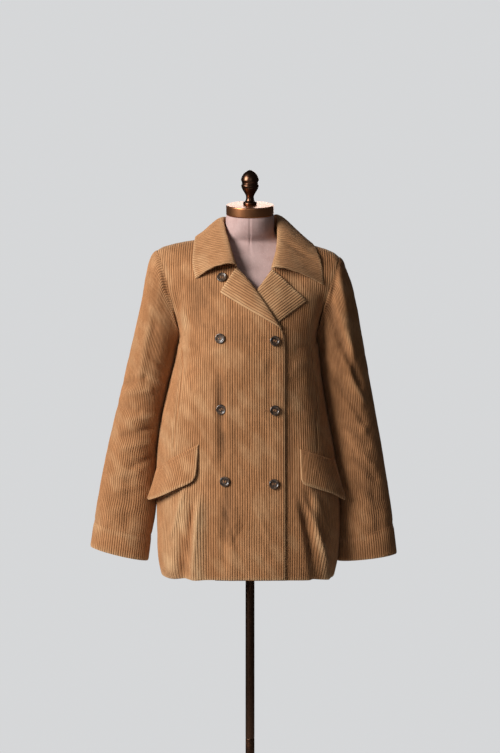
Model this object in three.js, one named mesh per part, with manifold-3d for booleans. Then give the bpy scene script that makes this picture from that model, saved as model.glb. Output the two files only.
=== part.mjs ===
// A double-breasted wide-wale corduroy jacket, worn on a limbless dress form that stands on a
// turned pole and a round base. Millimetres, +Z up, front towards -Y, wearer's right at -X,
// origin on the floor under the pole.
import * as THREE from 'three';
import { mergeVertices } from 'three/addons/utils/BufferGeometryUtils.js';
import Module from 'manifold-3d';

const wasm = await Module();
wasm.setup();

// ---------------------------------------------------------------- driving dimensions
const CLOTH = 2; // wall of one panel: corduroy with its fusing
const FACED = 2.8; // wall of collar, lapels and flaps, which are two layers
const SEAM = 0.3; // gap between neighbouring pieces

const HEM_Z = 755; // lowest edge of the body
const OVER_HEM_Z = 757; // the overlapping front ends a little higher
const HEM_DIP = { drop: 7, reach: 0.35 }; // at the side seams, fading out by this level
const ARMPIT_Z = 1235;
const TIP = { x: 190, z: 1403, y: 4 }; // shoulder tip, where the armhole seam crosses the shoulder
const SHOULDER_SLOPE = 0.3;
const NECK_POINT_X = 62; // where the shoulder seam meets the collar
const BACK_NECK = { z: 1433, curve: 2.5 }; // centre back, and how late the neckline rises

const ARMHOLE = { front: 56, back: 60, curve: 1.45 }; // greatest depth, and how it leans out
const TURN_IN = { front: 1.3, back: 2.2 }; // how the chest and back round over to the shoulder
const ARMHOLE_BLEND = 3; // the higher, the nearer to the armhole the panel takes its depth

const UNDERLAP = 8; // the left front hangs this far inside the right one where they cross
const LAP_X = { from: 76, to: 125 }; // and comes back level between these
const LAP_Z = { from: 1335, to: 1400 };

// Facets: rows from armpit to shoulder are shared by panels and sleeves, so their seams meet.
const UPPER_ROWS = 10;
const FACETS = {
  frontRows: 19, frontColumns: 12, backRows: 14, backColumns: 21, sleeveRows: 12, collarRows: 29,
  lapelRows: 10, lapelColumns: 7, flapRows: 9, flapColumns: 6, form: 28, turned: 32, slim: 20,
};

// Half widths and depths of the body from hem to armpit. right is at -X, left at +X.
const BODY = [
  { z: 755, right: 180.5, left: 172, front: 137, back: 128, square: 2.4 },
  { z: 790, right: 188, left: 180, front: 139, back: 131, square: 2.4 },
  { z: 860, right: 190, left: 184, front: 137, back: 130, square: 2.4 },
  { z: 930, right: 191.5, left: 181, front: 133, back: 124, square: 2.4 },
  { z: 1000, right: 190, left: 173, front: 129, back: 114, square: 2.4 },
  { z: 1070, right: 181, left: 160, front: 129, back: 109, square: 2.35 },
  { z: 1140, right: 165, left: 148, front: 130, back: 112, square: 2.3 },
  { z: 1200, right: 150.5, left: 141, front: 127.5, back: 118.5, square: 2.3 },
  { z: 1235, right: 146, left: 138, front: 126, back: 120, square: 2.3 },
];

// Large folds: soft ridges (height > 0) and troughs, from (x1, z1) to (x2, z2) on one face.
const FOLDS = [
  { face: 'front', x1: -120, z1: 945, x2: -152, z2: 770, width: 15, height: 7 },
  { face: 'front', x1: -96, z1: 940, x2: -104, z2: 755, width: 13, height: 5 },
  { face: 'front', x1: -136, z1: 890, x2: -134, z2: 755, width: 10, height: -5 },
  { face: 'front', x1: 104, z1: 935, x2: 132, z2: 755, width: 13, height: -7 },
  { face: 'front', x1: 122, z1: 930, x2: 156, z2: 755, width: 12, height: 7 },
  { face: 'back', x1: -70, z1: 1010, x2: -92, z2: 755, width: 20, height: 6 },
  { face: 'back', x1: 66, z1: 1000, x2: 90, z2: 755, width: 20, height: 6 },
  { face: 'back', x1: 4, z1: 1060, x2: 0, z2: 755, width: 24, height: -5 },
];

// Inner edges of the two fronts: front edge, roll line of the lapel, neckline.
const RIGHT_EDGE = [
  { x: 70, z: 755 }, { x: 70, z: 1215 }, { x: 68, z: 1238 }, { x: 60, z: 1257 }, { x: 49, z: 1275 },
  { x: 28, z: 1308 }, { x: 3, z: 1341 }, { x: -26, z: 1374 }, { x: -44, z: 1402 }, { x: -62, z: 1441.4 },
];
const LEFT_EDGE = [
  { x: -70, z: 755 }, { x: -70, z: 1225 }, { x: -62, z: 1250 }, { x: -34, z: 1280 }, { x: 18, z: 1328 },
  { x: 43, z: 1371 }, { x: 53, z: 1404 }, { x: 62, z: 1441.4 },
];

const ROLL_LINE = { low: new THREE.Vector2(60, 1257), high: new THREE.Vector2(-26, 1374) };

// Sleeves by section: the outer and inner edge seen from the front, and the depths fore and aft.
const SLEEVE = {
  right: [
    { run: 0, outX: -191, outZ: 1403, inX: -147, inZ: 1235, front: 56, back: 60, y: 3 },
    { run: 0.05, outX: -206, outZ: 1391, inX: -149.5, inZ: 1227, front: 58, back: 62, y: 3 },
    { run: 0.13, outX: -214, outZ: 1352, inX: -154.5, inZ: 1202, front: 60, back: 63, y: 3 },
    { run: 0.2, outX: -221, outZ: 1312, inX: -160, inZ: 1176, front: 60, back: 62, y: 2 },
    { run: 0.38, outX: -243, outZ: 1215, inX: -177, inZ: 1112, front: 58, back: 60, y: 0 },
    { run: 0.56, outX: -267, outZ: 1112, inX: -190, inZ: 1042, front: 54, back: 55, y: -2 },
    { run: 0.74, outX: -292, outZ: 1006, inX: -196, inZ: 960, front: 49, back: 50, y: -5 },
    { run: 0.88, outX: -312, outZ: 902, inX: -199, inZ: 868, front: 45, back: 46, y: -8 },
    { run: 1, outX: -327, outZ: 807, inX: -208, inZ: 778, front: 41, back: 42, y: -11 },
  ],
  left: [
    { run: 0, outX: 191, outZ: 1403, inX: 139, inZ: 1235, front: 56, back: 60, y: 3 },
    { run: 0.05, outX: 205, outZ: 1390, inX: 141.5, inZ: 1227, front: 58, back: 62, y: 3 },
    { run: 0.13, outX: 211.5, outZ: 1350, inX: 145, inZ: 1200, front: 60, back: 63, y: 3 },
    { run: 0.2, outX: 217, outZ: 1310, inX: 148, inZ: 1172, front: 60, back: 62, y: 2 },
    { run: 0.38, outX: 233, outZ: 1216, inX: 158, inZ: 1102, front: 58, back: 60, y: 0 },
    { run: 0.56, outX: 251, outZ: 1114, inX: 172, inZ: 1030, front: 54, back: 55, y: -2 },
    { run: 0.74, outX: 270, outZ: 1008, inX: 184, inZ: 948, front: 49, back: 50, y: -5 },
    { run: 0.88, outX: 287, outZ: 900, inX: 188.5, inZ: 862, front: 45, back: 46, y: -8 },
    { run: 1, outX: 301, outZ: 793, inX: 187, inZ: 778, front: 41, back: 42, y: -11 },
  ],
};

const HEAD_RUN = 0.13; // the sleeve's first stretch, which takes up the shape of the armhole
const BELOW_HEAD = 0.19;
const SEWN_FROM = 0.4; // share of the armhole's height above which the sleeve continues the panel
const SEWN_FULL = 0.8;

// Collar by section, from the wearer's right front end round the back to the left one.
// seat is the neckline under it, roll the fold along its top, edge the free edge of the fall.
const COLLAR = [
  { at: 0, seatX: -30, seatZ: 1377, rollX: -27, rollY: -93, rollZ: 1376, edgeX: -108, edgeZ: 1347 },
  { at: 0.1, seatX: -44, seatZ: 1402, rollX: -38, rollY: -70, rollZ: 1413, edgeX: -115, edgeZ: 1378 },
  { at: 0.2, seatX: -56, seatZ: 1428, rollX: -50.5, rollY: -36, rollZ: 1456, edgeX: -112, edgeZ: 1417 },
  { at: 0.29, seatX: -62, seatZ: 1441, rollX: -53.5, rollY: 4, rollZ: 1479, edgeX: -105, edgeZ: 1433 },
  { at: 0.39, seatX: -40, seatZ: 1436.4, rollX: -33, rollY: 36, rollZ: 1480, edgeX: -70, edgeZ: 1418 },
  { at: 0.5, seatX: 0, seatZ: 1433.4, rollX: 0, rollY: 48, rollZ: 1480, edgeX: 0, edgeZ: 1404 },
  { at: 0.61, seatX: 40, seatZ: 1436.4, rollX: 34, rollY: 36, rollZ: 1482, edgeX: 80, edgeZ: 1416 },
  { at: 0.71, seatX: 62, seatZ: 1441, rollX: 54, rollY: 4, rollZ: 1484, edgeX: 121, edgeZ: 1429 },
  { at: 0.8, seatX: 59, seatZ: 1428, rollX: 56, rollY: -34, rollZ: 1456, edgeX: 136, edgeZ: 1402 },
  { at: 0.9, seatX: 53, seatZ: 1404, rollX: 54, rollY: -66, rollZ: 1414, edgeX: 145, edgeZ: 1369 },
  { at: 1, seatX: 45, seatZ: 1375, rollX: 43, rollY: -93, rollZ: 1372, edgeX: 147, edgeZ: 1338 },
];
const COLLAR_END_BOW = { right: 10, left: 3 }; // how far the lower edges bow upwards
const COLLAR_END = 0.12; // share of its length over which the bow fades
const STAND_SHARE = 0.3; // share of the section that is the stand
const ROLL_ROUND = 9; // length of the tangent that rounds the fold
const STAND_GAP = 1.8; // the stand's foot clears the neckline by this
const FALL_GAP = 0.8; // the free edge lies this far off the body

// Lapels: the roll line and the free edge, from the break at the bottom to the notch.
const LAPEL = {
  right: [
    { run: 0, rollX: 63, rollZ: 1252, edgeX: 61, edgeZ: 1250 },
    { run: 0.2, rollX: 48, rollZ: 1277, edgeX: 35, edgeZ: 1267 },
    { run: 0.45, rollX: 26, rollZ: 1311, edgeX: 2, edgeZ: 1284.5 },
    { run: 0.7, rollX: 2, rollZ: 1342, edgeX: -31, edgeZ: 1301.5 },
    { run: 0.9, rollX: -18, rollZ: 1365, edgeX: -58, edgeZ: 1315 },
    { run: 1, rollX: -26, rollZ: 1373.5, edgeX: -61, edgeZ: 1325 },
  ],
  left: [
    { run: 0, rollX: 1, rollZ: 1313, edgeX: 44, edgeZ: 1254 },
    { run: 0.25, rollX: 12, rollZ: 1323, edgeX: 66, edgeZ: 1266 },
    { run: 0.5, rollX: 23, rollZ: 1338, edgeX: 84, edgeZ: 1279 },
    { run: 0.75, rollX: 33, rollZ: 1354, edgeX: 104, edgeZ: 1295 },
    { run: 0.92, rollX: 40, rollZ: 1365, edgeX: 112, edgeZ: 1303 },
    { run: 1, rollX: 43, rollZ: 1370.5, edgeX: 113.5, edgeZ: 1309.5 },
  ],
};
const LAPEL_GAP = 0.7;
const LAPEL_LIFT = { right: 3, left: 3 }; // how far the lapel stands up between roll and edge
const UNDER_LAPEL = 28; // the left lapel rises from under the right roll line over this width
const LEFT_GORGE_BOW = 8; // the sewn seam to the collar, then the open notch

// Pocket flaps: seam and free edge from the outer end to the inner one, and the lift at the edge.
const FLAP = {
  right: [
    { run: 0, seamX: -187, seamZ: 972, edgeX: -189, edgeZ: 905, lift: 15 },
    { run: 0.33, seamX: -163, seamZ: 989, edgeX: -168, edgeZ: 917, lift: 12 },
    { run: 0.66, seamX: -131, seamZ: 1007, edgeX: -137, edgeZ: 936, lift: 7 },
    { run: 0.9, seamX: -109, seamZ: 1020, edgeX: -112, edgeZ: 950, lift: 4.5 },
    { run: 1, seamX: -101, seamZ: 1024, edgeX: -104, edgeZ: 963, lift: 4 },
  ],
  left: [
    { run: 0, seamX: 171, seamZ: 987, edgeX: 178, edgeZ: 903, lift: 13 },
    { run: 0.33, seamX: 149, seamZ: 996, edgeX: 157, edgeZ: 921, lift: 10 },
    { run: 0.66, seamX: 124, seamZ: 1006, edgeX: 129, edgeZ: 934, lift: 6 },
    { run: 0.9, seamX: 106, seamZ: 1012.5, edgeX: 107, edgeZ: 943, lift: 4.5 },
    { run: 1, seamX: 99, seamZ: 1015, edgeX: 100, edgeZ: 948, lift: 4 },
  ],
};

// Buttons, by their place on the right front.
const BUTTON = { radius: 10.25, rim: 4, dish: 2.6, hole: 1.1, pitch: 4.2, facets: 16 };
const BUTTONS = [
  { name: 'button_collar', x: -55.5, z: 1353 },
  { name: 'button_right_1', x: -58.7, z: 1232 },
  { name: 'button_left_1', x: 48.5, z: 1227.5 },
  { name: 'button_right_2', x: -57, z: 1092.5 },
  { name: 'button_left_2', x: 48.5, z: 1091 },
  { name: 'button_right_3', x: -49.5, z: 951 },
  { name: 'button_left_3', x: 47, z: 946 },
];

// Dress form, from its flat bottom to the neck. lean tips a section forwards, in degrees.
const FORM = [
  { z: 800, half: 150, front: 96, back: 98, y: 0, lean: 0, square: 2.2 },
  { z: 808, half: 156, front: 101, back: 103, y: 0, lean: 0, square: 2.2 },
  { z: 880, half: 159, front: 104, back: 108, y: 0, lean: 0, square: 2.2 },
  { z: 960, half: 148, front: 98, back: 98, y: 0, lean: 0, square: 2.2 },
  { z: 1040, half: 124, front: 92, back: 84, y: 0, lean: 0, square: 2.2 },
  { z: 1110, half: 122, front: 104, back: 84, y: 0, lean: 0, square: 2.2 },
  { z: 1180, half: 130, front: 114, back: 94, y: 0, lean: 0, square: 2.2 },
  { z: 1240, half: 131, front: 110, back: 104, y: 0, lean: 0, square: 2.2 },
  { z: 1300, half: 146, front: 96, back: 104, y: 1, lean: 0, square: 2.1 },
  { z: 1350, half: 162, front: 78, back: 90, y: 2, lean: 0, square: 2 },
  { z: 1380, half: 171, front: 65, back: 76, y: 3, lean: 0, square: 1.9 },
  { z: 1394, half: 173, front: 58, back: 66, y: 4, lean: 0, square: 1.8 },
  { z: 1404, half: 168, front: 53, back: 58, y: 4, lean: 0, square: 1.6 },
  { z: 1414, half: 143, front: 50, back: 53, y: 3, lean: 0, square: 1.55 },
  { z: 1424, half: 109.5, front: 45, back: 45.5, y: 1, lean: 1, square: 1.45 },
  { z: 1431, half: 81.5, front: 42.5, back: 41, y: -2, lean: 3, square: 1.33 },
  { z: 1438, half: 58, front: 45, back: 41, y: -5, lean: 5, square: 1.7 },
  { z: 1447, half: 50.5, front: 45.5, back: 42, y: -9, lean: 9, square: 2 },
  { z: 1458, half: 48.8, front: 47, back: 44, y: -12, lean: 12, square: 2 },
  { z: 1478, half: 49.3, front: 48.5, back: 46.5, y: -14.5, lean: 14, square: 2 },
  { z: 1483.8, half: 47.5, front: 47, back: 45, y: -15, lean: 14, square: 2 },
];
const NECK_LEAN = 14;

const CAP = { radius: 48.5, thick: 20, top: new THREE.Vector3(0, -20, 1503.7) };
// Turned acorn finial: heights above the cap and radii.
const FINIAL = [
  [0, 13.6], [5, 14], [8, 9.6], [13, 8.1], [18, 8.5], [23, 10.8], [29.5, 14.8], [35, 17.2],
  [41, 17.8], [44, 16.2], [47.5, 17.7], [51.5, 18.1], [57, 16.5], [62, 13.6], [65.5, 10.2],
  [68.5, 5.4], [70.3, 0],
];

const POLE = { radius: 9.25, joint: 407, top: 784, chamfer: 1 };
const SOCKET = { radius: 26, neck: 14, flange: 5 }; // screwed under the form, takes the pole
const BASE = { radius: 165, rim: 9, dome: 15, hub: 22, hubTop: 52 };

// ---------------------------------------------------------------- small helpers
const lerp = THREE.MathUtils.lerp;
const smooth = (t) => THREE.MathUtils.smoothstep(t, 0, 1); // clamped to 0..1
const RIGHT_ANGLE = Math.PI / 2;
const ARMHOLE_FACING = RIGHT_ANGLE * 0.74;
const RIDGE_FROM = 1.93; // level where the round of the shoulder turns into its ridge

/** Every column of a table at one value of its key column, by a cubic through the rows. */
function rowAt(table, key, value) {
  const last = table.length - 1;
  const v = THREE.MathUtils.clamp(value, table[0][key], table[last][key]);
  let i = 0;
  while (i < last - 1 && v > table[i + 1][key]) i++;
  const span = table[i + 1][key] - table[i][key];
  const t = (v - table[i][key]) / span;
  const slope = (column, k) => {
    const a = table[Math.max(k - 1, 0)];
    const b = table[Math.min(k + 1, last)];
    return ((b[column] - a[column]) / (b[key] - a[key])) * span;
  };
  const row = {};
  for (const column of Object.keys(table[0])) {
    const p = table[i][column];
    const q = table[i + 1][column];
    if (typeof p !== 'number') continue;
    const m = slope(column, i);
    const n = slope(column, i + 1);
    row[column] = p + m * t + (3 * (q - p) - 2 * m - n) * t * t + (2 * (p - q) + m + n) * t ** 3;
  }
  row[key] = v;
  return row;
}

/** Straight-line reading of an edge table, whose corners stay sharp. */
function straightAt(table, key, value, column) {
  let i = 0;
  while (i < table.length - 2 && value > table[i + 1][key]) i++;
  const t = (value - table[i][key]) / (table[i + 1][key] - table[i][key]);
  return lerp(table[i][column], table[i + 1][column], THREE.MathUtils.clamp(t, 0, 1));
}

/** Closed body from a list of triangles on shared points, turned outwards if need be. */
function closedBody(points, triangles) {
  let volume = 0;
  for (const [a, b, c] of triangles) {
    volume += points[a].dot(new THREE.Vector3().crossVectors(points[b], points[c]));
  }
  const index = triangles.flatMap(([a, b, c]) => (volume < 0 ? [a, c, b] : [a, b, c]));
  const geometry = new THREE.BufferGeometry();
  const numbers = points.flatMap((p) => p.toArray());
  geometry.setAttribute('position', new THREE.Float32BufferAttribute(numbers, 3));
  geometry.setIndex(index);
  geometry.computeVertexNormals();
  return geometry;
}

/** Wall over a grid. place(u, v, depth) gives a point at a depth under the wall's face.
 *  A round grid closes on itself in v; the rims join face and back. */
function wall(place, us, vs, thick, round = false) {
  const points = [];
  const triangles = [];
  const across = vs.length;
  const layer = us.length * across;
  for (const depth of [0, thick]) {
    for (const u of us) {
      for (const v of vs) points.push(place(u, v, depth));
    }
  }
  const quad = (a, b, c, d) => triangles.push([a, b, c], [a, c, d]);
  const columns = round ? across : across - 1;
  for (let i = 0; i < us.length - 1; i++) {
    for (let j = 0; j < columns; j++) {
      const k = (j + 1) % across;
      const low = i * across;
      const high = low + across;
      quad(low + j, low + k, high + k, high + j);
      quad(layer + low + j, layer + high + j, layer + high + k, layer + low + k);
    }
  }
  const rim = (path) => {
    for (let n = 0; n < path.length - 1; n++) {
      quad(path[n], layer + path[n], layer + path[n + 1], path[n + 1]);
    }
  };
  const start = (us.length - 1) * across;
  const loop = [...Array(across).keys()];
  if (round) {
    rim([...loop, 0]);
    rim([...loop, 0].map((j) => start + j).reverse());
  } else {
    rim(loop);
    rim(loop.map((j) => start + j).reverse());
    const rows = [...Array(us.length).keys()];
    rim(rows.map((i) => i * across).reverse());
    rim(rows.map((i) => i * across + across - 1));
  }
  return closedBody(points, triangles);
}

/** Closed body through rings of points, with flat ends. */
function lofted(rings) {
  const points = rings.flat();
  const count = rings[0].length;
  const triangles = [];
  for (let i = 0; i < rings.length - 1; i++) {
    for (let j = 0; j < count; j++) {
      const k = (j + 1) % count;
      const low = i * count;
      const high = low + count;
      triangles.push([low + j, low + k, high + k], [low + j, high + k, high + j]);
    }
  }
  for (const [ring, first] of [[0, true], [rings.length - 1, false]]) {
    const centre = new THREE.Vector3();
    rings[ring].forEach((p) => centre.add(p));
    points.push(centre.divideScalar(count));
    const hub = points.length - 1;
    for (let j = 0; j < count; j++) {
      const a = ring * count + j;
      const b = ring * count + ((j + 1) % count);
      triangles.push(first ? [hub, b, a] : [hub, a, b]);
    }
  }
  return closedBody(points, triangles);
}

const steps = (count, shape = (t) => t) => Array.from({ length: count }, (_, i) => shape(i / (count - 1)));

// ---------------------------------------------------------------- the shape of the worn body
// level is 0 at the hem, 1 at the armpit and 2 at the shoulder seam. angle is 0 at the centre and
// a right angle at the side seam or the armhole, negative towards the wearer's right.
const seamZ = (x) => TIP.z + (TIP.x - Math.abs(x)) * SHOULDER_SLOPE;
const levelAt = (x, z) =>
  z <= ARMPIT_Z
    ? (z - HEM_Z) / (ARMPIT_Z - HEM_Z)
    : 1 + Math.min(1, (z - ARMPIT_Z) / (seamZ(x) - ARMPIT_Z));

function section(face, side, level) {
  if (level <= 1) {
    const z = lerp(HEM_Z, ARMPIT_Z, level);
    const r = rowAt(BODY, 'z', z);
    return { half: r[side], edge: 0, centre: r[face], square: r.square, y: 0, share: 0, z };
  }
  const r = BODY[BODY.length - 1];
  const t = level - 1;
  const edge = ARMHOLE[face] * Math.sqrt(4 * t * (1 - t));
  return {
    half: r[side] + (TIP.x - r[side]) * t ** ARMHOLE.curve,
    edge,
    centre: Math.max(r[face] * Math.sqrt(1 - t ** TURN_IN[face]), edge),
    square: r.square,
    y: TIP.y * t,
    share: t,
  };
}

function bodyPoint(face, angle, level) {
  const s = section(face, angle < 0 ? 'right' : 'left', level);
  const x = Math.sign(angle) * s.half * Math.abs(Math.sin(angle)) ** (2 / s.square);
  const deep = Math.max(0, Math.cos(angle)) ** (2 / s.square);
  const q = ARMHOLE_BLEND;
  const depth = (s.edge ** q + (s.centre ** q - s.edge ** q) * deep ** q) ** (1 / q);
  const y = s.y + (face === 'front' ? -depth : depth);
  const dip = HEM_DIP.drop * Math.sin(angle) ** 2 * Math.max(0, 1 - level / HEM_DIP.reach) ** 2;
  const z = level <= 1 ? s.z - dip : ARMPIT_Z + (seamZ(x) - ARMPIT_Z) * s.share;
  return new THREE.Vector3(x, y, z);
}

function angleAt(x, level) {
  const s = section('front', x < 0 ? 'right' : 'left', level);
  return Math.sign(x) * Math.asin(Math.min(1, Math.abs(x) / s.half) ** (s.square / 2));
}

/** Outward normal. At the armhole it is read a little inside the edge, where the panel faces
 *  forwards or back rather than sideways. */
function bodyNormal(face, angle, level) {
  const da = 0.02;
  const dl = 0.01;
  const limit = lerp(RIGHT_ANGLE, ARMHOLE_FACING, smooth((level - 1) / 0.25));
  const inside = THREE.MathUtils.clamp(angle, -limit, limit);
  const a0 = Math.max(inside - da, -RIGHT_ANGLE);
  const a1 = Math.min(inside + da, RIGHT_ANGLE);
  const l0 = Math.max(level - dl, 0);
  const l1 = Math.min(level + dl, 2);
  const across = bodyPoint(face, a1, level).sub(bodyPoint(face, a0, level));
  const up = bodyPoint(face, inside, l1).sub(bodyPoint(face, inside, l0));
  const normal = new THREE.Vector3().crossVectors(across, up).normalize();
  if (face === 'back') normal.negate();
  // front and back share one direction along the ridge of the shoulder
  const ridge = new THREE.Vector3(Math.sign(angle) * SHOULDER_SLOPE, 0, 1).normalize();
  return normal.lerp(ridge, smooth((level - RIDGE_FROM) / (2 - RIDGE_FROM))).normalize();
}

/** Height of the large folds at a place on the body. */
function foldHeight(face, point) {
  let height = 0;
  for (const f of FOLDS) {
    if (f.face !== face) continue;
    const run = new THREE.Vector2(f.x2 - f.x1, f.z2 - f.z1);
    const from = new THREE.Vector2(point.x - f.x1, point.z - f.z1);
    const along = from.dot(run) / run.lengthSq();
    const off = from.cross(run) / run.length();
    const fade = smooth(along * 2.5) * smooth(5 * (1.2 - along));
    height += f.height * fade * Math.exp(-((off / f.width) ** 2));
  }
  return height;
}

/** A point on the cloth, or out from it along its normal. */
function skin(face, angle, level, out = 0) {
  const point = bodyPoint(face, angle, level);
  return point.addScaledVector(bodyNormal(face, angle, level), out + foldHeight(face, point));
}

const onFront = (x, z, out) => skin('front', angleAt(x, levelAt(x, z)), levelAt(x, z), out);
/** How far the left front lies inside the body's outer surface. */
function underlap(x, z) {
  const aside = smooth((x - LAP_X.from) / (LAP_X.to - LAP_X.from));
  const above = smooth((z - LAP_Z.from) / (LAP_Z.to - LAP_Z.from));
  return -UNDERLAP * (1 - aside) * (1 - above);
}

/** Distance past the straight of the right roll line, towards the wearer's left. */
function pastRoll(x, z) {
  const run = ROLL_LINE.high.clone().sub(ROLL_LINE.low);
  return run.cross(new THREE.Vector2(x, z).sub(ROLL_LINE.low)) / -run.length();
}

/** Angle of the side seam or armhole edge, held half a seam's gap back. */
function outerAngle(face, side, level) {
  const s = section(face, side, level);
  const back = level <= 1 ? Math.acos((SEAM / 2 / s.centre) ** (s.square / 2)) : RIGHT_ANGLE;
  return side === 'right' ? -back : back;
}

/** Angle of a front's inner edge at a level, from its edge table. */
function innerAngle(edge, level) {
  const places = edge.map((p) => ({ level: levelAt(p.x, p.z), x: p.x }));
  places[places.length - 1].level = 2;
  return angleAt(straightAt(places, 'level', level, 'x'), level);
}

// Levels of the rows, closer together at the armpit and over the round of the shoulder.
const upperLevels = steps(UPPER_ROWS + 1, (t) => 1 + (1 - Math.cos(t * Math.PI)) / 2).slice(1);
const panelLevels = (low, rows) => [...steps(rows, (t) => lerp(low, 1, t)), ...upperLevels];

// ---------------------------------------------------------------- cloth pieces
function front(side) {
  const isRight = side === 'right';
  const edge = isRight ? RIGHT_EDGE : LEFT_EDGE;
  const low = isRight ? (OVER_HEM_Z - HEM_Z) / (ARMPIT_Z - HEM_Z) : 0;
  const place = (level, v, depth) => {
    const angle = lerp(innerAngle(edge, level), outerAngle('front', side, level), v);
    const at = bodyPoint('front', angle, level);
    const point = skin('front', angle, level, (isRight ? 0 : underlap(at.x, at.z)) - depth);
    if (level === 2) point.y -= SEAM / 2;
    return point;
  };
  return wall(place, panelLevels(low, FACETS.frontRows), steps(FACETS.frontColumns), CLOTH);
}

function back() {
  const topLevel = (angle) => {
    const x = Math.abs(Math.sin(angle)) ** (2 / BODY[BODY.length - 1].square) * TIP.x;
    if (x >= NECK_POINT_X) return 2;
    const rise = seamZ(NECK_POINT_X) - BACK_NECK.z;
    return levelAt(x, BACK_NECK.z + rise * (x / NECK_POINT_X) ** BACK_NECK.curve);
  };
  const place = (share, v, depth) => {
    const side = v < 0 ? 'right' : 'left';
    const top = topLevel(v * RIGHT_ANGLE);
    const level = share <= 1 ? share : 1 + (share - 1) * (top - 1);
    const angle = Math.abs(v) * outerAngle('back', side, level);
    const point = skin('back', angle, level, -depth);
    if (level === 2) point.y += SEAM / 2;
    return point;
  };
  const columns = steps(FACETS.backColumns, (t) => lerp(-1, 1, t));
  return wall(place, panelLevels(0, FACETS.backRows), columns, CLOTH);
}

function sleeve(side) {
  const sections = SLEEVE[side];
  const outwards = side === 'right' ? -1 : 1;
  const edgeAngle = outwards * RIGHT_ANGLE;
  const surface = (run, turn) => {
    const phi = turn * 2 * Math.PI;
    const r = rowAt(sections, 'run', run);
    const face = Math.sin(phi) >= 0 ? 'front' : 'back';
    const point = new THREE.Vector3(
      lerp(r.inX, r.outX, (1 + Math.cos(phi)) / 2),
      r.y - Math.sin(phi) * r[face],
      lerp(r.inZ, r.outZ, (1 + Math.cos(phi)) / 2)
    );
    const hole = bodyPoint(face, edgeAngle, 1 + (1 + Math.cos(phi)) / 2);
    hole.x += outwards * (SEAM + 0.1);
    return hole.lerp(point, Math.sqrt(Math.min(1, run / HEAD_RUN)));
  };
  const place = (run, turn, depth) => {
    const point = surface(run, turn);
    const along = surface(Math.min(run + 0.01, 1), turn).sub(surface(Math.max(run - 0.01, 0), turn));
    const around = surface(run, turn + 0.01).sub(surface(run, turn - 0.01));
    const normal = new THREE.Vector3().crossVectors(along, around).normalize().multiplyScalar(-outwards);
    const share = (1 + Math.cos(turn * 2 * Math.PI)) / 2;
    const seam = bodyNormal(Math.sin(turn * 2 * Math.PI) >= 0 ? 'front' : 'back', edgeAngle, 1 + share);
    const sewn = smooth((share - SEWN_FROM) / (SEWN_FULL - SEWN_FROM)) * (1 - smooth(run / HEAD_RUN));
    return point.addScaledVector(normal.lerp(seam, sewn).normalize(), -depth);
  };
  const runs = [...steps(4, (t) => t * HEAD_RUN), ...steps(FACETS.sleeveRows, (t) => lerp(BELOW_HEAD, 1, t))];
  return wall(place, runs, steps(2 * UPPER_ROWS + 1).slice(0, -1), CLOTH, true);
}

/** Section of the collar: up the stand, over the roll and down the fall. */
function collarCurve(at, v) {
  const r = rowAt(COLLAR, 'at', at);
  const face = at > COLLAR[3].at && at < COLLAR[7].at ? 'back' : 'front';
  const level = Math.min(levelAt(r.seatX, r.seatZ), 2);
  const seat = skin(face, angleAt(r.seatX, level), level, STAND_GAP);
  const roll = new THREE.Vector3(r.rollX, r.rollY, r.rollZ);
  const edgeLevel = levelAt(r.edgeX, r.edgeZ);
  const edge = skin(face, angleAt(r.edgeX, edgeLevel), edgeLevel, FALL_GAP + FACED);
  const rise = roll.clone().sub(seat);
  const fall = edge.clone().sub(roll);
  const over = rise.clone().normalize().add(fall.clone().normalize()).normalize();
  const reach = Math.min(ROLL_ROUND / 2, rise.length() * 0.6);
  if (v < STAND_SHARE) {
    const curve = new THREE.CubicBezierCurve3(
      seat, seat.clone().addScaledVector(rise, 0.4), roll.clone().addScaledVector(over, -reach), roll
    );
    return curve.getPoint(v / STAND_SHARE);
  }
  const t = (v - STAND_SHARE) / (1 - STAND_SHARE);
  const end = at < 0.5 ? COLLAR_END_BOW.right : COLLAR_END_BOW.left;
  const near = Math.max(0, 1 - Math.min(at, 1 - at) / COLLAR_END);
  const leaves = roll.clone().addScaledVector(over, ROLL_ROUND * 1.6);
  const curve = new THREE.CubicBezierCurve3(roll, leaves, edge.clone().addScaledVector(fall, -0.35), edge);
  const point = curve.getPoint(t);
  point.z += end * near * Math.sin(Math.PI * t);
  return point;
}

function collar() {
  const place = (at, v, depth) => {
    const point = collarCurve(at, v);
    const along = collarCurve(Math.min(at + 0.008, 1), v).sub(collarCurve(Math.max(at - 0.008, 0), v));
    const across = collarCurve(at, Math.min(v + 0.02, 1)).sub(collarCurve(at, Math.max(v - 0.02, 0)));
    const normal = new THREE.Vector3().crossVectors(across, along).normalize();
    return point.addScaledVector(normal, -depth);
  };
  const across = [0, 0.15, 0.25, STAND_SHARE, 0.35, 0.45, 0.6, 0.8, 1];
  return wall(place, steps(FACETS.collarRows), across, FACED);
}

function lapel(side) {
  const isRight = side === 'right';
  const place = (run, v, depth) => {
    const r = rowAt(LAPEL[side], 'run', run);
    const hump = 4 * v * (1 - v);
    const x = lerp(r.rollX, r.edgeX, v);
    const bow = isRight ? 0 : LEFT_GORGE_BOW * smooth((run - 0.7) / 0.3) * hump;
    const z = lerp(r.rollZ, r.edgeZ, v) + bow;
    const rest = isRight ? 0 : underlap(x, z);
    const open = isRight ? 1 : smooth(pastRoll(x, z) / UNDER_LAPEL);
    const lift = LAPEL_LIFT[side] * hump * open * Math.min(1, run * 4);
    return onFront(x, z, rest + LAPEL_GAP + lift + FACED - depth);
  };
  return wall(place, steps(FACETS.lapelRows), steps(FACETS.lapelColumns), FACED);
}

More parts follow.
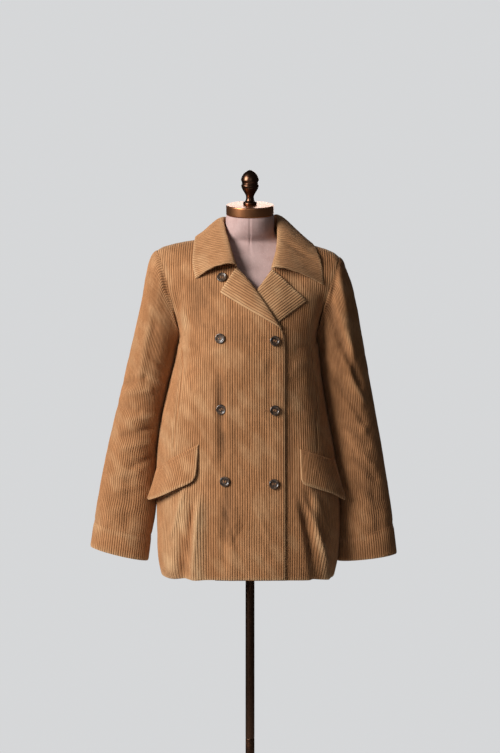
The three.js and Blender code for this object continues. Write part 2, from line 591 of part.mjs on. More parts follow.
function pocketFlap(side) {
  const place = (run, v, depth) => {
    const r = rowAt(FLAP[side], 'run', run);
    const x = lerp(r.seamX, r.edgeX, v);
    const z = lerp(r.seamZ, r.edgeZ, v);
    const rest = side === 'right' ? 0 : underlap(x, z);
    return onFront(x, z, rest + 2.6 * SEAM + r.lift * v ** 1.4 + FACED - depth);
  };
  return wall(place, steps(FACETS.flapRows), steps(FACETS.flapColumns), FACED);
}

// ---------------------------------------------------------------- hard pieces
function asManifold(geometry) {
  const bare = geometry.clone();
  for (const name of ['normal', 'uv']) bare.deleteAttribute(name);
  const merged = mergeVertices(bare, 1e-4);
  const vertProperties = merged.attributes.position.array;
  return new wasm.Manifold(new wasm.Mesh({ numProp: 3, vertProperties, triVerts: merged.index.array }));
}

function asGeometry(solid) {
  const mesh = solid.getMesh();
  const geometry = new THREE.BufferGeometry();
  geometry.setAttribute('position', new THREE.BufferAttribute(mesh.vertProperties, 3));
  geometry.setIndex(new THREE.BufferAttribute(mesh.triVerts, 1));
  geometry.computeVertexNormals();
  return geometry;
}

/** Body turned about +Z from [height, radius] pairs. */
function turned(profile, facets) {
  const outline = profile.map(([height, radius]) => new THREE.Vector2(radius, height));
  if (outline[0].x > 0) outline.unshift(new THREE.Vector2(0, profile[0][0]));
  const last = profile[profile.length - 1];
  if (last[1] > 0) outline.push(new THREE.Vector2(0, last[0]));
  return new THREE.LatheGeometry(outline, facets).rotateX(RIGHT_ANGLE);
}

/** Four-hole button with a raised rim, its back on the plane z = 0. */
function button() {
  const { radius, rim, dish, hole, pitch, facets } = BUTTON;
  const profile = [[0, radius - 2], [1.2, radius], [rim - 1, radius], [rim, radius - 1.2],
    [rim, radius - 2.2], [dish, radius - 4]];
  let solid = asManifold(turned(profile, facets));
  for (const [i, j] of [[-1, -1], [1, -1], [-1, 1], [1, 1]]) {
    const drill = new THREE.CylinderGeometry(hole, hole, 4 * rim, 6).rotateX(RIGHT_ANGLE);
    drill.translate((i * pitch) / 2, (j * pitch) / 2, 0);
    solid = solid.subtract(asManifold(drill));
  }
  return asGeometry(solid);
}

function formTorso() {
  const rings = FORM.map((r) => steps(FACETS.form + 1).slice(0, -1).map((t) => {
    const phi = t * 2 * Math.PI;
    const x = Math.sign(Math.cos(phi)) * r.half * Math.abs(Math.cos(phi)) ** (2 / r.square);
    const deep = Math.sin(phi) < 0 ? r.front : r.back;
    const y = Math.sign(Math.sin(phi)) * deep * Math.abs(Math.sin(phi)) ** (2 / r.square);
    return new THREE.Vector3(x, y + r.y, r.z + y * Math.tan(THREE.MathUtils.degToRad(r.lean)));
  }));
  return lofted(rings);
}

// ---------------------------------------------------------------- materials and assembly
const standard = (color, roughness, metalness) =>
  new THREE.MeshStandardMaterial({ color, roughness, metalness });
const corduroy = () => standard(0xa97b52, 0.95, 0);
const horn = () => standard(0x4a3f3a, 0.35, 0);
const linen = () => standard(0xb09a96, 0.9, 0);
const bronze = () => standard(0x5a3f2c, 0.35, 0.8);

const jacketOnForm = new THREE.Group();
function add(name, geometry, material, parent = jacketOnForm) {
  const mesh = new THREE.Mesh(geometry, material);
  mesh.name = name;
  parent.add(mesh);
  return mesh;
}

for (const side of ['right', 'left']) {
  add(`front_${side}`, front(side), corduroy());
  add(`sleeve_${side}`, sleeve(side), corduroy());
  add(`lapel_${side}`, lapel(side), corduroy());
  add(`pocket_flap_${side}`, pocketFlap(side), corduroy());
}
add('back', back(), corduroy());
add('collar', collar(), corduroy());

for (const { name, x, z } of BUTTONS) {
  const level = levelAt(x, z);
  const angle = angleAt(x, level);
  const mesh = add(name, button(), horn());
  mesh.position.copy(skin('front', angle, level, SEAM + 0.1));
  mesh.quaternion.setFromUnitVectors(new THREE.Vector3(0, 0, 1), bodyNormal('front', angle, level));
}

add('form_torso', formTorso(), linen());

const head = new THREE.Group();
head.position.copy(CAP.top);
head.rotation.x = THREE.MathUtils.degToRad(NECK_LEAN);
jacketOnForm.add(head);
const { radius: capRadius, thick } = CAP;
const capProfile = [[-thick, capRadius - 1], [1 - thick, capRadius], [-1.5, capRadius], [0, capRadius - 1.5]];
add('neck_cap', turned(capProfile, FACETS.turned), bronze(), head);
const finial = add('finial', turned(FINIAL, FACETS.slim), bronze(), head);
finial.position.z = SEAM;

const { radius: poleRadius, joint, top, chamfer } = POLE;
const upperPole = [[joint + SEAM, poleRadius - chamfer], [joint + SEAM + chamfer, poleRadius],
  [top - SEAM, poleRadius]];
const lowerPole = [[BASE.hubTop + SEAM, poleRadius], [joint - chamfer, poleRadius],
  [joint, poleRadius - chamfer]];
add('pole_upper', turned(upperPole, FACETS.slim), bronze());
add('pole_lower', turned(lowerPole, FACETS.slim), bronze());
const formBottom = FORM[0].z;
const socketProfile = [[top, SOCKET.neck], [formBottom - SOCKET.flange - 2, SOCKET.neck + 1],
  [formBottom - SOCKET.flange, SOCKET.radius], [formBottom - SEAM, SOCKET.radius]];
add('pole_socket', turned(socketProfile, FACETS.slim), bronze());
const baseProfile = [[0, BASE.radius - 2], [2, BASE.radius], [BASE.rim, BASE.radius],
  [BASE.rim + 3, BASE.radius - 6], [BASE.dome, BASE.radius * 0.55],
  [BASE.dome + 4, BASE.hub + 8], [BASE.dome + 12, BASE.hub],
  [BASE.hubTop - 6, poleRadius + 7], [BASE.hubTop, poleRadius + 5]];
add('base', turned(baseProfile, FACETS.turned), bronze());

export default jacketOnForm;
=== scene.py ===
"""Looks for a worn wide-wale corduroy jacket on a limbless dress form.

The frame gives the stand's sizes. The cloth repeats the jacket's own construction tables, which
are in millimetres; every mesh is made in metres, front towards -Y, wearer's left at +X.
"""

import math

import bmesh
import bpy
import numpy as np
from mathutils import Matrix, Vector


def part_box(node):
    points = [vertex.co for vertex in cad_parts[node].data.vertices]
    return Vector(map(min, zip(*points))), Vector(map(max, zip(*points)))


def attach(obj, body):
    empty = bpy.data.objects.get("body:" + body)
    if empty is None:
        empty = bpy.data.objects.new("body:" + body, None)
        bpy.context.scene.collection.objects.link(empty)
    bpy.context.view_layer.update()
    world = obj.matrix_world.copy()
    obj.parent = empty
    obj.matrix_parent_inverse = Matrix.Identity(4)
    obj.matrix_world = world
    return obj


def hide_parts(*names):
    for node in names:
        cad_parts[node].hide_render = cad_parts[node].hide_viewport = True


bl_info = {
    "name": "Corduroy jacket on dress form",
    "version": (1, 0, 0),
    "blender": (4, 5, 0),
    "location": "View3D > Sidebar > Jacket",
    "description": "Builds the visual pieces of a corduroy jacket and its dress form",
    "category": "Object",
}

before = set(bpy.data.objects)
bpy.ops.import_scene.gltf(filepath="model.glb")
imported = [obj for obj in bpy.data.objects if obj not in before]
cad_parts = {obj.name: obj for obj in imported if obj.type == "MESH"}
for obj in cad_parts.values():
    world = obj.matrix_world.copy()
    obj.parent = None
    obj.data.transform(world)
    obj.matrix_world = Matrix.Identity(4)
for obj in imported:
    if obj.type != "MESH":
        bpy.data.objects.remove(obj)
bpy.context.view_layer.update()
MM = 0.001
RIGHT_ANGLE = math.pi / 2

# ------------------------------------------------------------------ construction of the jacket (mm)
CLOTH = 2.0
FACED = 2.8
SEAM = 0.3
HEM_Z = 755.0
OVER_HEM_Z = 757.0
HEM_DIP = {"drop": 7.0, "reach": 0.35}
ARMPIT_Z = 1235.0
TIP = {"x": 190.0, "z": 1403.0, "y": 4.0}
SHOULDER_SLOPE = 0.3
NECK_POINT_X = 62.0
BACK_NECK = {"z": 1433.0, "curve": 2.5}
ARMHOLE = {"front": 56.0, "back": 60.0, "curve": 1.45}
TURN_IN = {"front": 1.3, "back": 2.2}
ARMHOLE_BLEND = 3.0
ARMHOLE_FACING = RIGHT_ANGLE * 0.74
RIDGE_FROM = 1.93
UNDERLAP = 4.2
LAP_X = (76.0, 125.0)
LAP_Z = (1335.0, 1400.0)
HEAD_RUN = 0.13
SEWN_FROM, SEWN_FULL = 0.4, 0.8
STAND_SHARE = 0.3
ROLL_ROUND = 9.0
STAND_GAP = 1.8
FALL_GAP = 0.8
COLLAR_END_BOW = {"right": 8.0, "left": 8.0}
COLLAR_END_LIFT = {"right": 12.0, "left": 6.0}
COLLAR_END = 0.12
SHOULDER_CLEAR = 3.0
LAPEL_GAP = 0.7
ROLL_PAST = 0.8
LAPEL_LIFT = 3.0
UNDER_LAPEL = 28.0
ROLL_LINE = ((60.0, 1257.0), (-26.0, 1374.0))
NECK_LEAN = math.radians(14.0)


def table(names, *rows):
    """Rows of numbers under named columns; the first column is the key."""
    return dict(zip(names.split(), np.array(rows, dtype=float).T))


BODY = table(
    "z right left front back square",
    (755, 180.5, 172, 137, 128, 2.4),
    (790, 188, 180, 139, 131, 2.4),
    (860, 190, 184, 137, 130, 2.4),
    (930, 191.5, 181, 133, 124, 2.4),
    (1000, 190, 173, 129, 114, 2.4),
    (1070, 181, 160, 129, 109, 2.35),
    (1140, 165, 148, 130, 112, 2.3),
    (1200, 150.5, 141, 127.5, 118.5, 2.3),
    (1235, 146, 138, 126, 120, 2.3),
)
RIGHT_EDGE = table(
    "x z",
    (70, 755), (70, 1215), (68, 1238), (60, 1257), (49, 1275),
    (28, 1308), (3, 1341), (-26, 1374), (-44, 1402), (-62, 1441.4),
)
LEFT_EDGE = table(
    "x z",
    (-70, 755), (-70, 1225), (-62, 1250), (-34, 1280), (18, 1328), (43, 1371), (53, 1404), (62, 1441.4),
)
SLEEVE = {
    "right": table(
        "run outX outZ inX inZ front back y",
        (0, -191, 1403, -147, 1235, 56, 60, 3),
        (0.05, -206, 1391, -149.5, 1227, 58, 62, 3),
        (0.13, -214, 1352, -154.5, 1202, 60, 63, 3),
        (0.2, -221, 1312, -160, 1176, 60, 62, 2),
        (0.38, -243, 1215, -177, 1112, 58, 60, 0),
        (0.56, -267, 1112, -190, 1042, 54, 55, -2),
        (0.74, -292, 1006, -196, 960, 49, 50, -5),
        (0.88, -312, 902, -199, 868, 45, 46, -8),
        (1, -327, 807, -208, 778, 41, 42, -11),
    ),
    "left": table(
        "run outX outZ inX inZ front back y",
        (0, 191, 1403, 139, 1235, 56, 60, 3),
        (0.05, 205, 1390, 141.5, 1227, 58, 62, 3),
        (0.13, 211.5, 1350, 145, 1200, 60, 63, 3),
        (0.2, 217, 1310, 148, 1172, 60, 62, 2),
        (0.38, 233, 1216, 158, 1102, 58, 60, 0),
        (0.56, 251, 1114, 172, 1030, 54, 55, -2),
        (0.74, 270, 1008, 184, 948, 49, 50, -5),
        (0.88, 287, 900, 188.5, 862, 45, 46, -8),
        (1, 301, 793, 187, 778, 41, 42, -11),
    ),
}
COLLAR = table(
    "at seatX seatZ rollX rollY rollZ edgeX edgeZ",
    (0, -30, 1377, -27, -93, 1376, -108, 1347),
    (0.1, -44, 1402, -38, -70, 1413, -115, 1378),
    (0.2, -56, 1428, -50.5, -36, 1456, -112, 1417),
    (0.29, -62, 1441, -53.5, 4, 1479, -105, 1433),
    (0.39, -40, 1436.4, -33, 36, 1480, -70, 1418),
    (0.5, 0, 1433.4, 0, 48, 1480, 0, 1404),
    (0.61, 40, 1436.4, 34, 36, 1482, 80, 1416),
    (0.71, 62, 1441, 54, 4, 1484, 121, 1429),
    (0.8, 59, 1428, 56, -34, 1456, 136, 1402),
    (0.9, 53, 1404, 54, -66, 1414, 145, 1369),
    (1, 45, 1375, 43, -93, 1372, 147, 1338),
)
# Lapels by their free edge, the notch and the roll line, seen from the front.
LAPEL = {
    "right": {"break": (61, 1250), "tip": (-60, 1322), "notch": (-26, 1373.5), "roll": (63, 1253)},
    "left": {"break": (45, 1255), "tip": (113.5, 1307), "notch": (43, 1371), "roll": (1, 1313)},
}
FLAP = {
    "right": table(
        "run seamX seamZ edgeX edgeZ lift",
        (0, -187, 972, -189, 905, 15),
        (0.33, -163, 989, -168, 917, 12),
        (0.66, -131, 1007, -137, 936, 7),
        (0.9, -109, 1020, -112, 950, 4.5),
        (1, -101, 1024, -104, 963, 4),
    ),
    "left": table(
        "run seamX seamZ edgeX edgeZ lift",
        (0, 171, 987, 178, 903, 13),
        (0.33, 149, 996, 157, 921, 10),
        (0.66, 124, 1006, 129, 934, 6),
        (0.9, 106, 1012.5, 107, 943, 4.5),
        (1, 99, 1015, 100, 948, 4),
    ),
}
BUTTONS = {
    "button_collar": (-55.5, 1353), "button_right_1": (-58.7, 1232), "button_left_1": (48.5, 1227.5),
    "button_right_2": (-57, 1092.5), "button_left_2": (48.5, 1091), "button_right_3": (-49.5, 951),
    "button_left_3": (47, 946),
}
BUTTON_TURN = {"button_right_2": 24.0, "button_collar": -14.0, "button_right_3": -8.0}
FORM = table(
    "z half front back y lean square",
    (800, 150, 96, 98, 0, 0, 2.2),
    (808, 156, 101, 103, 0, 0, 2.2),
    (880, 159, 104, 108, 0, 0, 2.2),
    (960, 148, 98, 98, 0, 0, 2.2),
    (1040, 124, 92, 84, 0, 0, 2.2),
    (1110, 122, 104, 84, 0, 0, 2.2),
    (1180, 130, 114, 94, 0, 0, 2.2),
    (1240, 131, 110, 104, 0, 0, 2.2),
    (1300, 146, 96, 104, 1, 0, 2.1),
    (1350, 162, 78, 90, 2, 0, 2),
    (1380, 171, 65, 76, 3, 0, 1.9),
    (1394, 173, 58, 66, 4, 0, 1.8),
    (1404, 168, 53, 58, 4, 0, 1.6),
    (1414, 143, 50, 53, 3, 0, 1.55),
    (1424, 109.5, 45, 45.5, 1, 1, 1.45),
    (1431, 81.5, 42.5, 41, -2, 3, 1.33),
    (1438, 58, 45, 41, -5, 5, 1.7),
    (1447, 50.5, 45.5, 42, -9, 9, 2),
    (1458, 48.8, 47, 44, -12, 12, 2),
    (1478, 49.3, 48.5, 46.5, -14.5, 14, 2),
    (1483.8, 47.5, 47, 45, -15, 14, 2),
)
CAP = {"radius": 48.5, "thick": 20.0, "top": (0.0, -20.0, 1503.7)}
FINIAL = (
    (0, 13.6), (3.5, 14.2), (6, 12.6), (8, 9.6), (13, 8.1), (18, 8.5), (23, 10.8), (29.5, 14.8), (35, 17.2),
    (38.5, 17.9), (40.5, 17.5), (42, 16.3), (43.4, 16.9), (44.6, 16.2), (46, 16.6), (49, 18), (51.5, 18.1),
    (57, 16.5), (62, 13.6), (65.5, 10.2), (68.5, 5.4), (69.8, 2.4), (70.3, 0),
)

# Folds and creases: soft ridges (height > 0) and troughs, from (x1, z1) to (x2, z2).
FOLD_COLUMNS = "x1 z1 x2 z2 width height"
FOLDS = {
    "front": table(
        FOLD_COLUMNS,
        # large folds of the hanging skirt
        (-120, 945, -152, 770, 14, 8), (-96, 940, -104, 755, 12, 7), (-136, 890, -134, 755, 9, -7),
        (104, 935, 130, 755, 8, -7), (121, 930, 152, 755, 7, 6.5), (140, 915, 160, 800, 7, -3),
        # pulled from under the flaps
        (-123, 948, -152, 846, 5, 4.5), (-97, 934, -111, 776, 5.5, 5), (-110, 920, -126, 800, 6, -5),
        (-176, 875, -166, 776, 8, 3),
        (109, 938, 145, 842, 5, -3.5), (93, 928, 123, 812, 5, -3), (101, 932, 149, 794, 4, 3.5),
        (125, 932, 160, 842, 6, 4), (150, 900, 168, 790, 7, -3),
        # down the button columns, where the cloth is held
        (-62, 1180, -54, 1005, 7, -3), (-74, 1150, -70, 1010, 9, 2), (-46, 1190, -40, 1000, 9, 1.6),
        (-52, 930, -50, 800, 9, -2.4), (-34, 940, -36, 770, 11, 2), (42, 1205, 38, 1110, 9, -1.4),
        (30, 1080, 36, 960, 10, -1.4),
        # small wrinkles between the lower buttons and the hem
        (-54, 915, -27, 826, 4, -1.8), (-42, 820, -13, 862, 3.5, -1.6), (-46, 850, -23, 875, 3, 1.4),
        (-30, 900, -8, 880, 4, -1.2), (8, 905, 34, 845, 5, 1.2), (-20, 810, 20, 800, 7, 1.2),
        # chest, drawn from the armholes
        (-150, 1335, -138, 1235, 8, -3.2), (-132, 1300, -128, 1215, 10, 3), (-117, 1308, -136, 1190, 7, -2),
        (-146, 1226, -100, 1214, 6, -2), (-140, 1196, -104, 1186, 7, 1.6), (-134, 1160, -100, 1168, 6, -1.4),
        (-96, 1262, -62, 1236, 8, -1.8), (-84, 1200, -50, 1214, 7, 1.4), (-30, 1235, 30, 1222, 9, -1.2),
        (-24, 1200, 26, 1178, 10, 1.3), (-20, 1150, 24, 1140, 10, -1.2), (-14, 1105, 30, 1098, 8, 1.2),
        (148, 1330, 134, 1232, 8, -3), (128, 1300, 122, 1220, 10, 2.6), (138, 1222, 96, 1212, 6, -2),
        (132, 1190, 92, 1180, 7, 1.6), (112, 1150, 80, 1150, 7, -1.4), (110, 1100, 78, 1090, 7, 1.3),
        (-130, 1070, -100, 1046, 8, -1.5), (-150, 1040, -118, 1022, 7, 1.4),
    ),
    "back": table(
        FOLD_COLUMNS,
        (-70, 1010, -92, 755, 20, 6), (66, 1000, 90, 755, 20, 6), (4, 1060, 0, 755, 24, -5),
        (-120, 1330, -96, 1210, 11, -3), (122, 1330, 98, 1210, 11, -3),
        (-104, 1260, -40, 1240, 12, 1.8), (104, 1256, 42, 1238, 12, 1.8),
        (-110, 1180, -30, 1160, 11, -2), (108, 1176, 26, 1152, 11, -2),
        (-96, 1120, -20, 1106, 10, 2.2), (94, 1110, 18, 1096, 10, 2.2),
        (-130, 1070, -60, 1046, 9, -2), (128, 1064, 56, 1040, 9, -2),
        (-150, 940, -158, 770, 13, -4), (148, 930, 156, 770, 13, -4),
        (-36, 960, -44, 770, 12, 3), (40, 950, 46, 770, 12, 3),
    ),
    "sleeve_right_front": table(
        FOLD_COLUMNS,
        (-172, 1378, -205, 1240, 9, 3.4), (-205, 1250, -222, 1150, 8, 3), (-184, 1368, -196, 1250, 7, -2.6),
        (-176, 1380, -156, 1300, 5, -3), (-158, 1320, -150, 1245, 5, 2.4),
        (-214, 1210, -176, 1172, 6, -2.4), (-224, 1176, -180, 1140, 6, 2),
        (-266, 1138, -214, 1152, 6, -3), (-262, 1120, -206, 1128, 7, 3), (-278, 1098, -226, 1084, 6, -3),
        (-258, 1062, -198, 1076, 7, 2.6), (-286, 1027, -201, 1051, 6, -2.8), (-276, 1006, -206, 1022, 7, 2.4),
        (-252, 966, -195, 996, 6, -2.4), (-296, 950, -230, 962, 8, 1.8), (-303, 905, -222, 925, 6, -2),
        (-300, 880, -240, 890, 8, 1.6), (-240, 1000, -250, 860, 12, -2),
    ),
    "sleeve_left_front": table(
        FOLD_COLUMNS,
        (182, 1376, 192, 1268, 9, 3.4), (170, 1384, 166, 1290, 6, -3.4), (196, 1290, 206, 1180, 8, 2.6),
        (150, 1318, 183, 1219, 7, -3.4), (166, 1330, 203, 1209, 7, 3.2), (173, 1262, 219, 1148, 7, -3.4),
        (178, 1210, 226, 1110, 7, 3), (164, 1160, 224, 1067, 7, -3.4), (186, 1120, 230, 1050, 7, 3),
        (180, 1060, 236, 1020, 6, -3), (196, 1030, 250, 976, 6, 2.6), (193, 1000, 254, 950, 6, -2.6),
        (203, 946, 270, 905, 7, -2.4), (206, 920, 274, 876, 7, 2.2), (240, 1010, 262, 850, 12, -2.2),
        (218, 900, 226, 800, 12, 2),
    ),
    "sleeve_right_back": table(
        FOLD_COLUMNS,
        (-176, 1350, -214, 1240, 9, -3), (-196, 1230, -176, 1190, 7, 2.4), (-262, 1140, -196, 1120, 8, -3),
        (-262, 1110, -198, 1086, 8, 2.8), (-270, 1070, -204, 1050, 7, -3), (-276, 1030, -210, 1010, 8, 2.4),
        (-284, 980, -214, 990, 8, -2.4), (-250, 960, -262, 840, 12, 2.2),
    ),
    "sleeve_left_back": table(
        FOLD_COLUMNS,
        (176, 1350, 208, 1240, 9, -3), (196, 1230, 172, 1190, 7, 2.4), (246, 1140, 184, 1120, 8, -3),
        (248, 1110, 186, 1086, 8, 2.8), (254, 1070, 190, 1050, 7, -3), (260, 1030, 196, 1010, 8, 2.4),
        (266, 980, 200, 990, 8, -2.4), (234, 960, 246, 840, 12, 2.2),
    ),
}
# Painted shade (tone < 0) and nap rubbed pale (tone > 0) on the fronts.
WEAR_AND_SHADE_PATCHES = table(
    "x z wide high tone",
    (-58, 1100, 9, 70, -0.75), (-52, 1030, 12, 30, -0.5), (-48, 900, 13, 60, -0.75),
    (-30, 850, 14, 50, -0.35),
    (-24, 1240, 40, 30, -0.2), (-98, 1315, 34, 75, -0.5), (-70, 1215, 26, 16, 0.2), (-132, 1270, 12, 60, 0.5),
    (-150, 1010, 26, 60, 0.35), (-122, 965, 30, 20, 0.3), (-160, 860, 18, 70, 0.25), (-107, 850, 8, 80, 0.45),
    (-138, 895, 7, 50, 0.45), (-90, 1140, 18, 60, 0.2), (20, 1140, 30, 60, 0.2), (40, 1000, 16, 60, 0.25),
    (10, 830, 26, 50, 0.15), (104, 1240, 16, 50, -0.1), (110, 860, 14, 60, -0.3), (128, 1330, 16, 40, 0.2),
    (95, 1120, 12, 80, 0.2), (80, 1020, 8, 70, -0.5), (150, 940, 14, 20, -0.3),
)
# Seams and stitched lines pressed into a panel, as points seen from the front.
DARTS = {
    "right": (
        (-150, 1236), (-138, 1212), (-134, 1173), (-139, 1134), (-143, 1096), (-149, 1060), (-152, 1012),
    ),
    "left": ((141, 1236), (124, 1206), (125, 1170), (133, 1134), (134, 1096), (132, 1060), (134, 1012)),
}

# How the worn shoulders sit off the plain construction: raised (up) and drawn in (side), by place.
SHOULDER_UP = ((-212, 0), (-200, 5), (-190, 10), (-178, 13.5), (-158, 13.5), (-132, 11), (-106, 7), (-62, 0),
               (90, 0), (130, 2), (155, 2.4), (172, 0), (184, -3), (200, -6))
SHOULDER_IN = ((1290, 0), (1335, 3), (1362, 6.5), (1382, 9.5), (1403, 8))

WALE_PHASES = np.array((0.0, 0.1, 0.27, 0.5, 0.73, 0.9))
ROW_STEP = 6.0
HEM_ROWS = (0.0, 1.0, 2.4, 4.5)
CUFF_STITCH = 40.0
# Painted shade laid over a whole sleeve: the wearer's left sleeve is darkened.
SLEEVE_PAINTED_SHADE = {"right": 0.0, "left": 0.28}
LEAN_IN = 0.4  # how far a sleeve's inner side presses into the ease of the body
ARMPIT_CLOSE = 4.0  # how much more it does so where it is sewn in
CORNER = 5.0


# ------------------------------------------------------------------ sizes and colours to change
class JacketCloth(bpy.types.PropertyGroup):
    wale: bpy.props.FloatProperty(
        name="Wale pitch", description="Distance between neighbouring ribs", default=0.0048,
        unit="LENGTH", subtype="DISTANCE")
    rib: bpy.props.FloatProperty(
        name="Rib height", description="How far a rib stands above its groove", default=0.0011,
        unit="LENGTH", subtype="DISTANCE")
    pile: bpy.props.FloatVectorProperty(
        name="Pile", description="Colour of the brushed ribs", default=(0.47, 0.22, 0.094), size=3,
        subtype="COLOR")
    # The groove colour is the ground's own darker colour and painted shade between the ribs.
    groove: bpy.props.FloatVectorProperty(
        name="GrooveShade", description="Colour of the ground between ribs", default=(0.15, 0.066, 0.024),
        size=3, subtype="COLOR")
    worn: bpy.props.FloatVectorProperty(
        name="Worn pile", description="Colour where the pile is rubbed", default=(0.61, 0.38, 0.2), size=3,
        subtype="COLOR")
    reverse: bpy.props.FloatVectorProperty(
        name="Reverse", description="Colour of the cloth's wrong side", default=(0.2, 0.11, 0.055), size=3,
        subtype="COLOR")
    stitch: bpy.props.FloatProperty(
        name="Stitch length", description="Distance from stitch to stitch", default=0.0032,
        unit="LENGTH", subtype="DISTANCE")


class StandFinish(bpy.types.PropertyGroup):
    linen: bpy.props.FloatVectorProperty(
        name="Linen", description="Colour of the form's cover", default=(0.52, 0.36, 0.335), size=3,
        subtype="COLOR")
    bronze: bpy.props.FloatVectorProperty(
        name="Bronze", description="Colour of the bright bronzed metal", default=(0.47, 0.2, 0.09), size=3,
        subtype="COLOR")
    patina: bpy.props.FloatVectorProperty(
        name="Patina", description="Colour of the dark bronzed metal", default=(0.11, 0.056, 0.034), size=3,
        subtype="COLOR")


class StudioLook(bpy.types.PropertyGroup):
    floor: bpy.props.FloatVectorProperty(
        name="Floor", description="Colour of the floor", default=(0.62, 0.63, 0.64), size=3, subtype="COLOR")
    key: bpy.props.FloatProperty(
        name="Key light", description="Power of the key light", default=192.0, unit="POWER")
    fill: bpy.props.FloatProperty(
        name="Fill light", description="Power of the fill light", default=5.0, unit="POWER")


# ------------------------------------------------------------------ small helpers
def smooth(t):
    t = np.clip(t, 0.0, 1.0)
    return t * t * (3 - 2 * t)


def mix(a, b, t):
    return a + (b - a) * t


def read(tab, value):
    """Every column of a table at values of its key column, by a cubic through the rows."""
    key = next(iter(tab))
    keys = tab[key]
    last = len(keys) - 1
    v = np.clip(value, keys[0], keys[-1])
    i = np.clip(np.searchsorted(keys, v) - 1, 0, last - 1)
    before, after, beyond = np.maximum(i - 1, 0), i + 1, np.minimum(i + 2, last)
    span = keys[after] - keys[i]
    t = (v - keys[i]) / span
    out = {}
    for name, column in tab.items():
        p, q = column[i], column[after]
        m = (q - column[before]) / (keys[after] - keys[before]) * span
        n = (column[beyond] - p) / (keys[beyond] - keys[i]) * span
        out[name] = p + m * t + (3 * (q - p) - 2 * m - n) * t * t + (2 * (p - q) + m + n) * t ** 3
    out[key] = v
    return out


def unit(v):
    return v / np.maximum(np.linalg.norm(v, axis=-1, keepdims=True), 1e-9)


def grid_normals(points, towards):
    """Unit normals of a grid of points, on the side that the vector or grid towards points to."""
    along = np.gradient(points, axis=0)
    across = np.gradient(points, axis=1)
    normal = unit(np.cross(across, along))
    middle = tuple(n // 2 for n in points.shape[:2])
    guide = towards[middle] if np.ndim(towards) == 3 else np.array(towards)
    return normal if normal[middle] @ guide > 0 else -normal


def waves(a, b, seed):
    """Smooth uneven field from -1 to 1 over two coordinates in mm, the same on every run."""
    rng = np.random.default_rng(seed)
    total = np.zeros(np.broadcast(a, b).shape)
    for _ in range(7):
        size = rng.uniform(35.0, 130.0)
        turn = rng.uniform(0.0, math.tau)
        distance = a * math.cos(turn) + b * math.sin(turn)
        total += np.sin(distance * math.tau / size + rng.uniform(0, math.tau))
    return total / 4.0


# ------------------------------------------------------------------ shape of the worn body (mm)
# level is 0 at the hem, 1 at the armpit and 2 at the shoulder seam. angle is 0 at the centre and
# a right angle at the side seam or the armhole, negative towards the wearer's right.
def seam_z(x):
    return TIP["z"] + (TIP["x"] - np.abs(x)) * SHOULDER_SLOPE


def level_at(x, z):
    upper = 1 + np.minimum(1, (z - ARMPIT_Z) / (seam_z(x) - ARMPIT_Z))
    return np.where(np.asarray(z) <= ARMPIT_Z, (z - HEM_Z) / (ARMPIT_Z - HEM_Z), upper)


def section(face, left, level):
    r = read(BODY, mix(HEM_Z, ARMPIT_Z, np.clip(level, 0, 1)))
    t = np.clip(level - 1, 0, 1)
    edge = ARMHOLE[face] * np.sqrt(4 * t * (1 - t))
    half = np.where(left, r["left"], r["right"])
    half = half + (TIP["x"] - half) * t ** ARMHOLE["curve"]
    centre = np.maximum(r[face] * np.sqrt(1 - t ** TURN_IN[face]), edge)
    return half, edge, centre, r["square"], t, r["z"]


def body_point(face, angle, level):
    angle, level = np.broadcast_arrays(np.asarray(angle, float), np.asarray(level, float))
    half, edge, centre, square, t, z = section(face, angle >= 0, level)
    x = np.sign(angle) * half * np.abs(np.sin(angle)) ** (2 / square)
    deep = np.maximum(0, np.cos(angle)) ** (2 / square)
    q = ARMHOLE_BLEND
    depth = (edge ** q + (centre ** q - edge ** q) * deep ** q) ** (1 / q)
    y = TIP["y"] * t + (-depth if face == "front" else depth)
    dip = HEM_DIP["drop"] * np.sin(angle) ** 2 * np.maximum(0, 1 - level / HEM_DIP["reach"]) ** 2
    z = np.where(level <= 1, z - dip, ARMPIT_Z + (seam_z(x) - ARMPIT_Z) * t)
    return np.stack((x, y, z), axis=-1)


def angle_at(x, level):
    half, _, _, square, _, _ = section("front", np.asarray(x) >= 0, level)
    return np.sign(x) * np.arcsin(np.minimum(1, np.abs(x) / half) ** (square / 2))


def body_normal(face, angle, level):
    """Outward normal, read a little inside the armhole, where the panel faces forwards or back."""
    angle, level = np.broadcast_arrays(np.asarray(angle, float), np.asarray(level, float))
    limit = mix(RIGHT_ANGLE, ARMHOLE_FACING, smooth((level - 1) / 0.25))
    inside = np.clip(angle, -limit, limit)
    a0, a1 = np.maximum(inside - 0.02, -RIGHT_ANGLE), np.minimum(inside + 0.02, RIGHT_ANGLE)
    l0, l1 = np.maximum(level - 0.01, 0), np.minimum(level + 0.01, 2)
    across = body_point(face, a1, level) - body_point(face, a0, level)
    up = body_point(face, inside, l1) - body_point(face, inside, l0)
    normal = unit(np.cross(across, up)) * (1 if face == "front" else -1)
    ridge = np.stack((np.sign(angle) * SHOULDER_SLOPE, np.zeros_like(angle), np.ones_like(angle)), axis=-1)
    share = smooth((level - RIDGE_FROM) / (2 - RIDGE_FROM))[..., None]
    return unit(mix(normal, unit(ridge), share))


def fold_height(name, point):
    """Height of the folds and creases of one face at its points."""
    height = np.zeros(point.shape[:-1])
    folds = FOLDS[name]
    for x1, z1, x2, z2, width, rise in zip(*folds.values()):
        run = np.array((x2 - x1, z2 - z1))
        length = np.hypot(*run)
        dx, dz = point[..., 0] - x1, point[..., 2] - z1
        along = (dx * run[0] + dz * run[1]) / length ** 2
        off = (dx * run[1] - dz * run[0]) / length
        fade = smooth(along * 2.5 + 0.1) * smooth(5 * (1.2 - along))
        height += rise * fade * np.exp(-((off / width) ** 2))
    return height


def skin(face, angle, level, out=0.0):
    point = body_point(face, angle, level)
    rise = np.asarray(out + fold_height(face, point))
    return point + body_normal(face, angle, level) * rise[..., None]


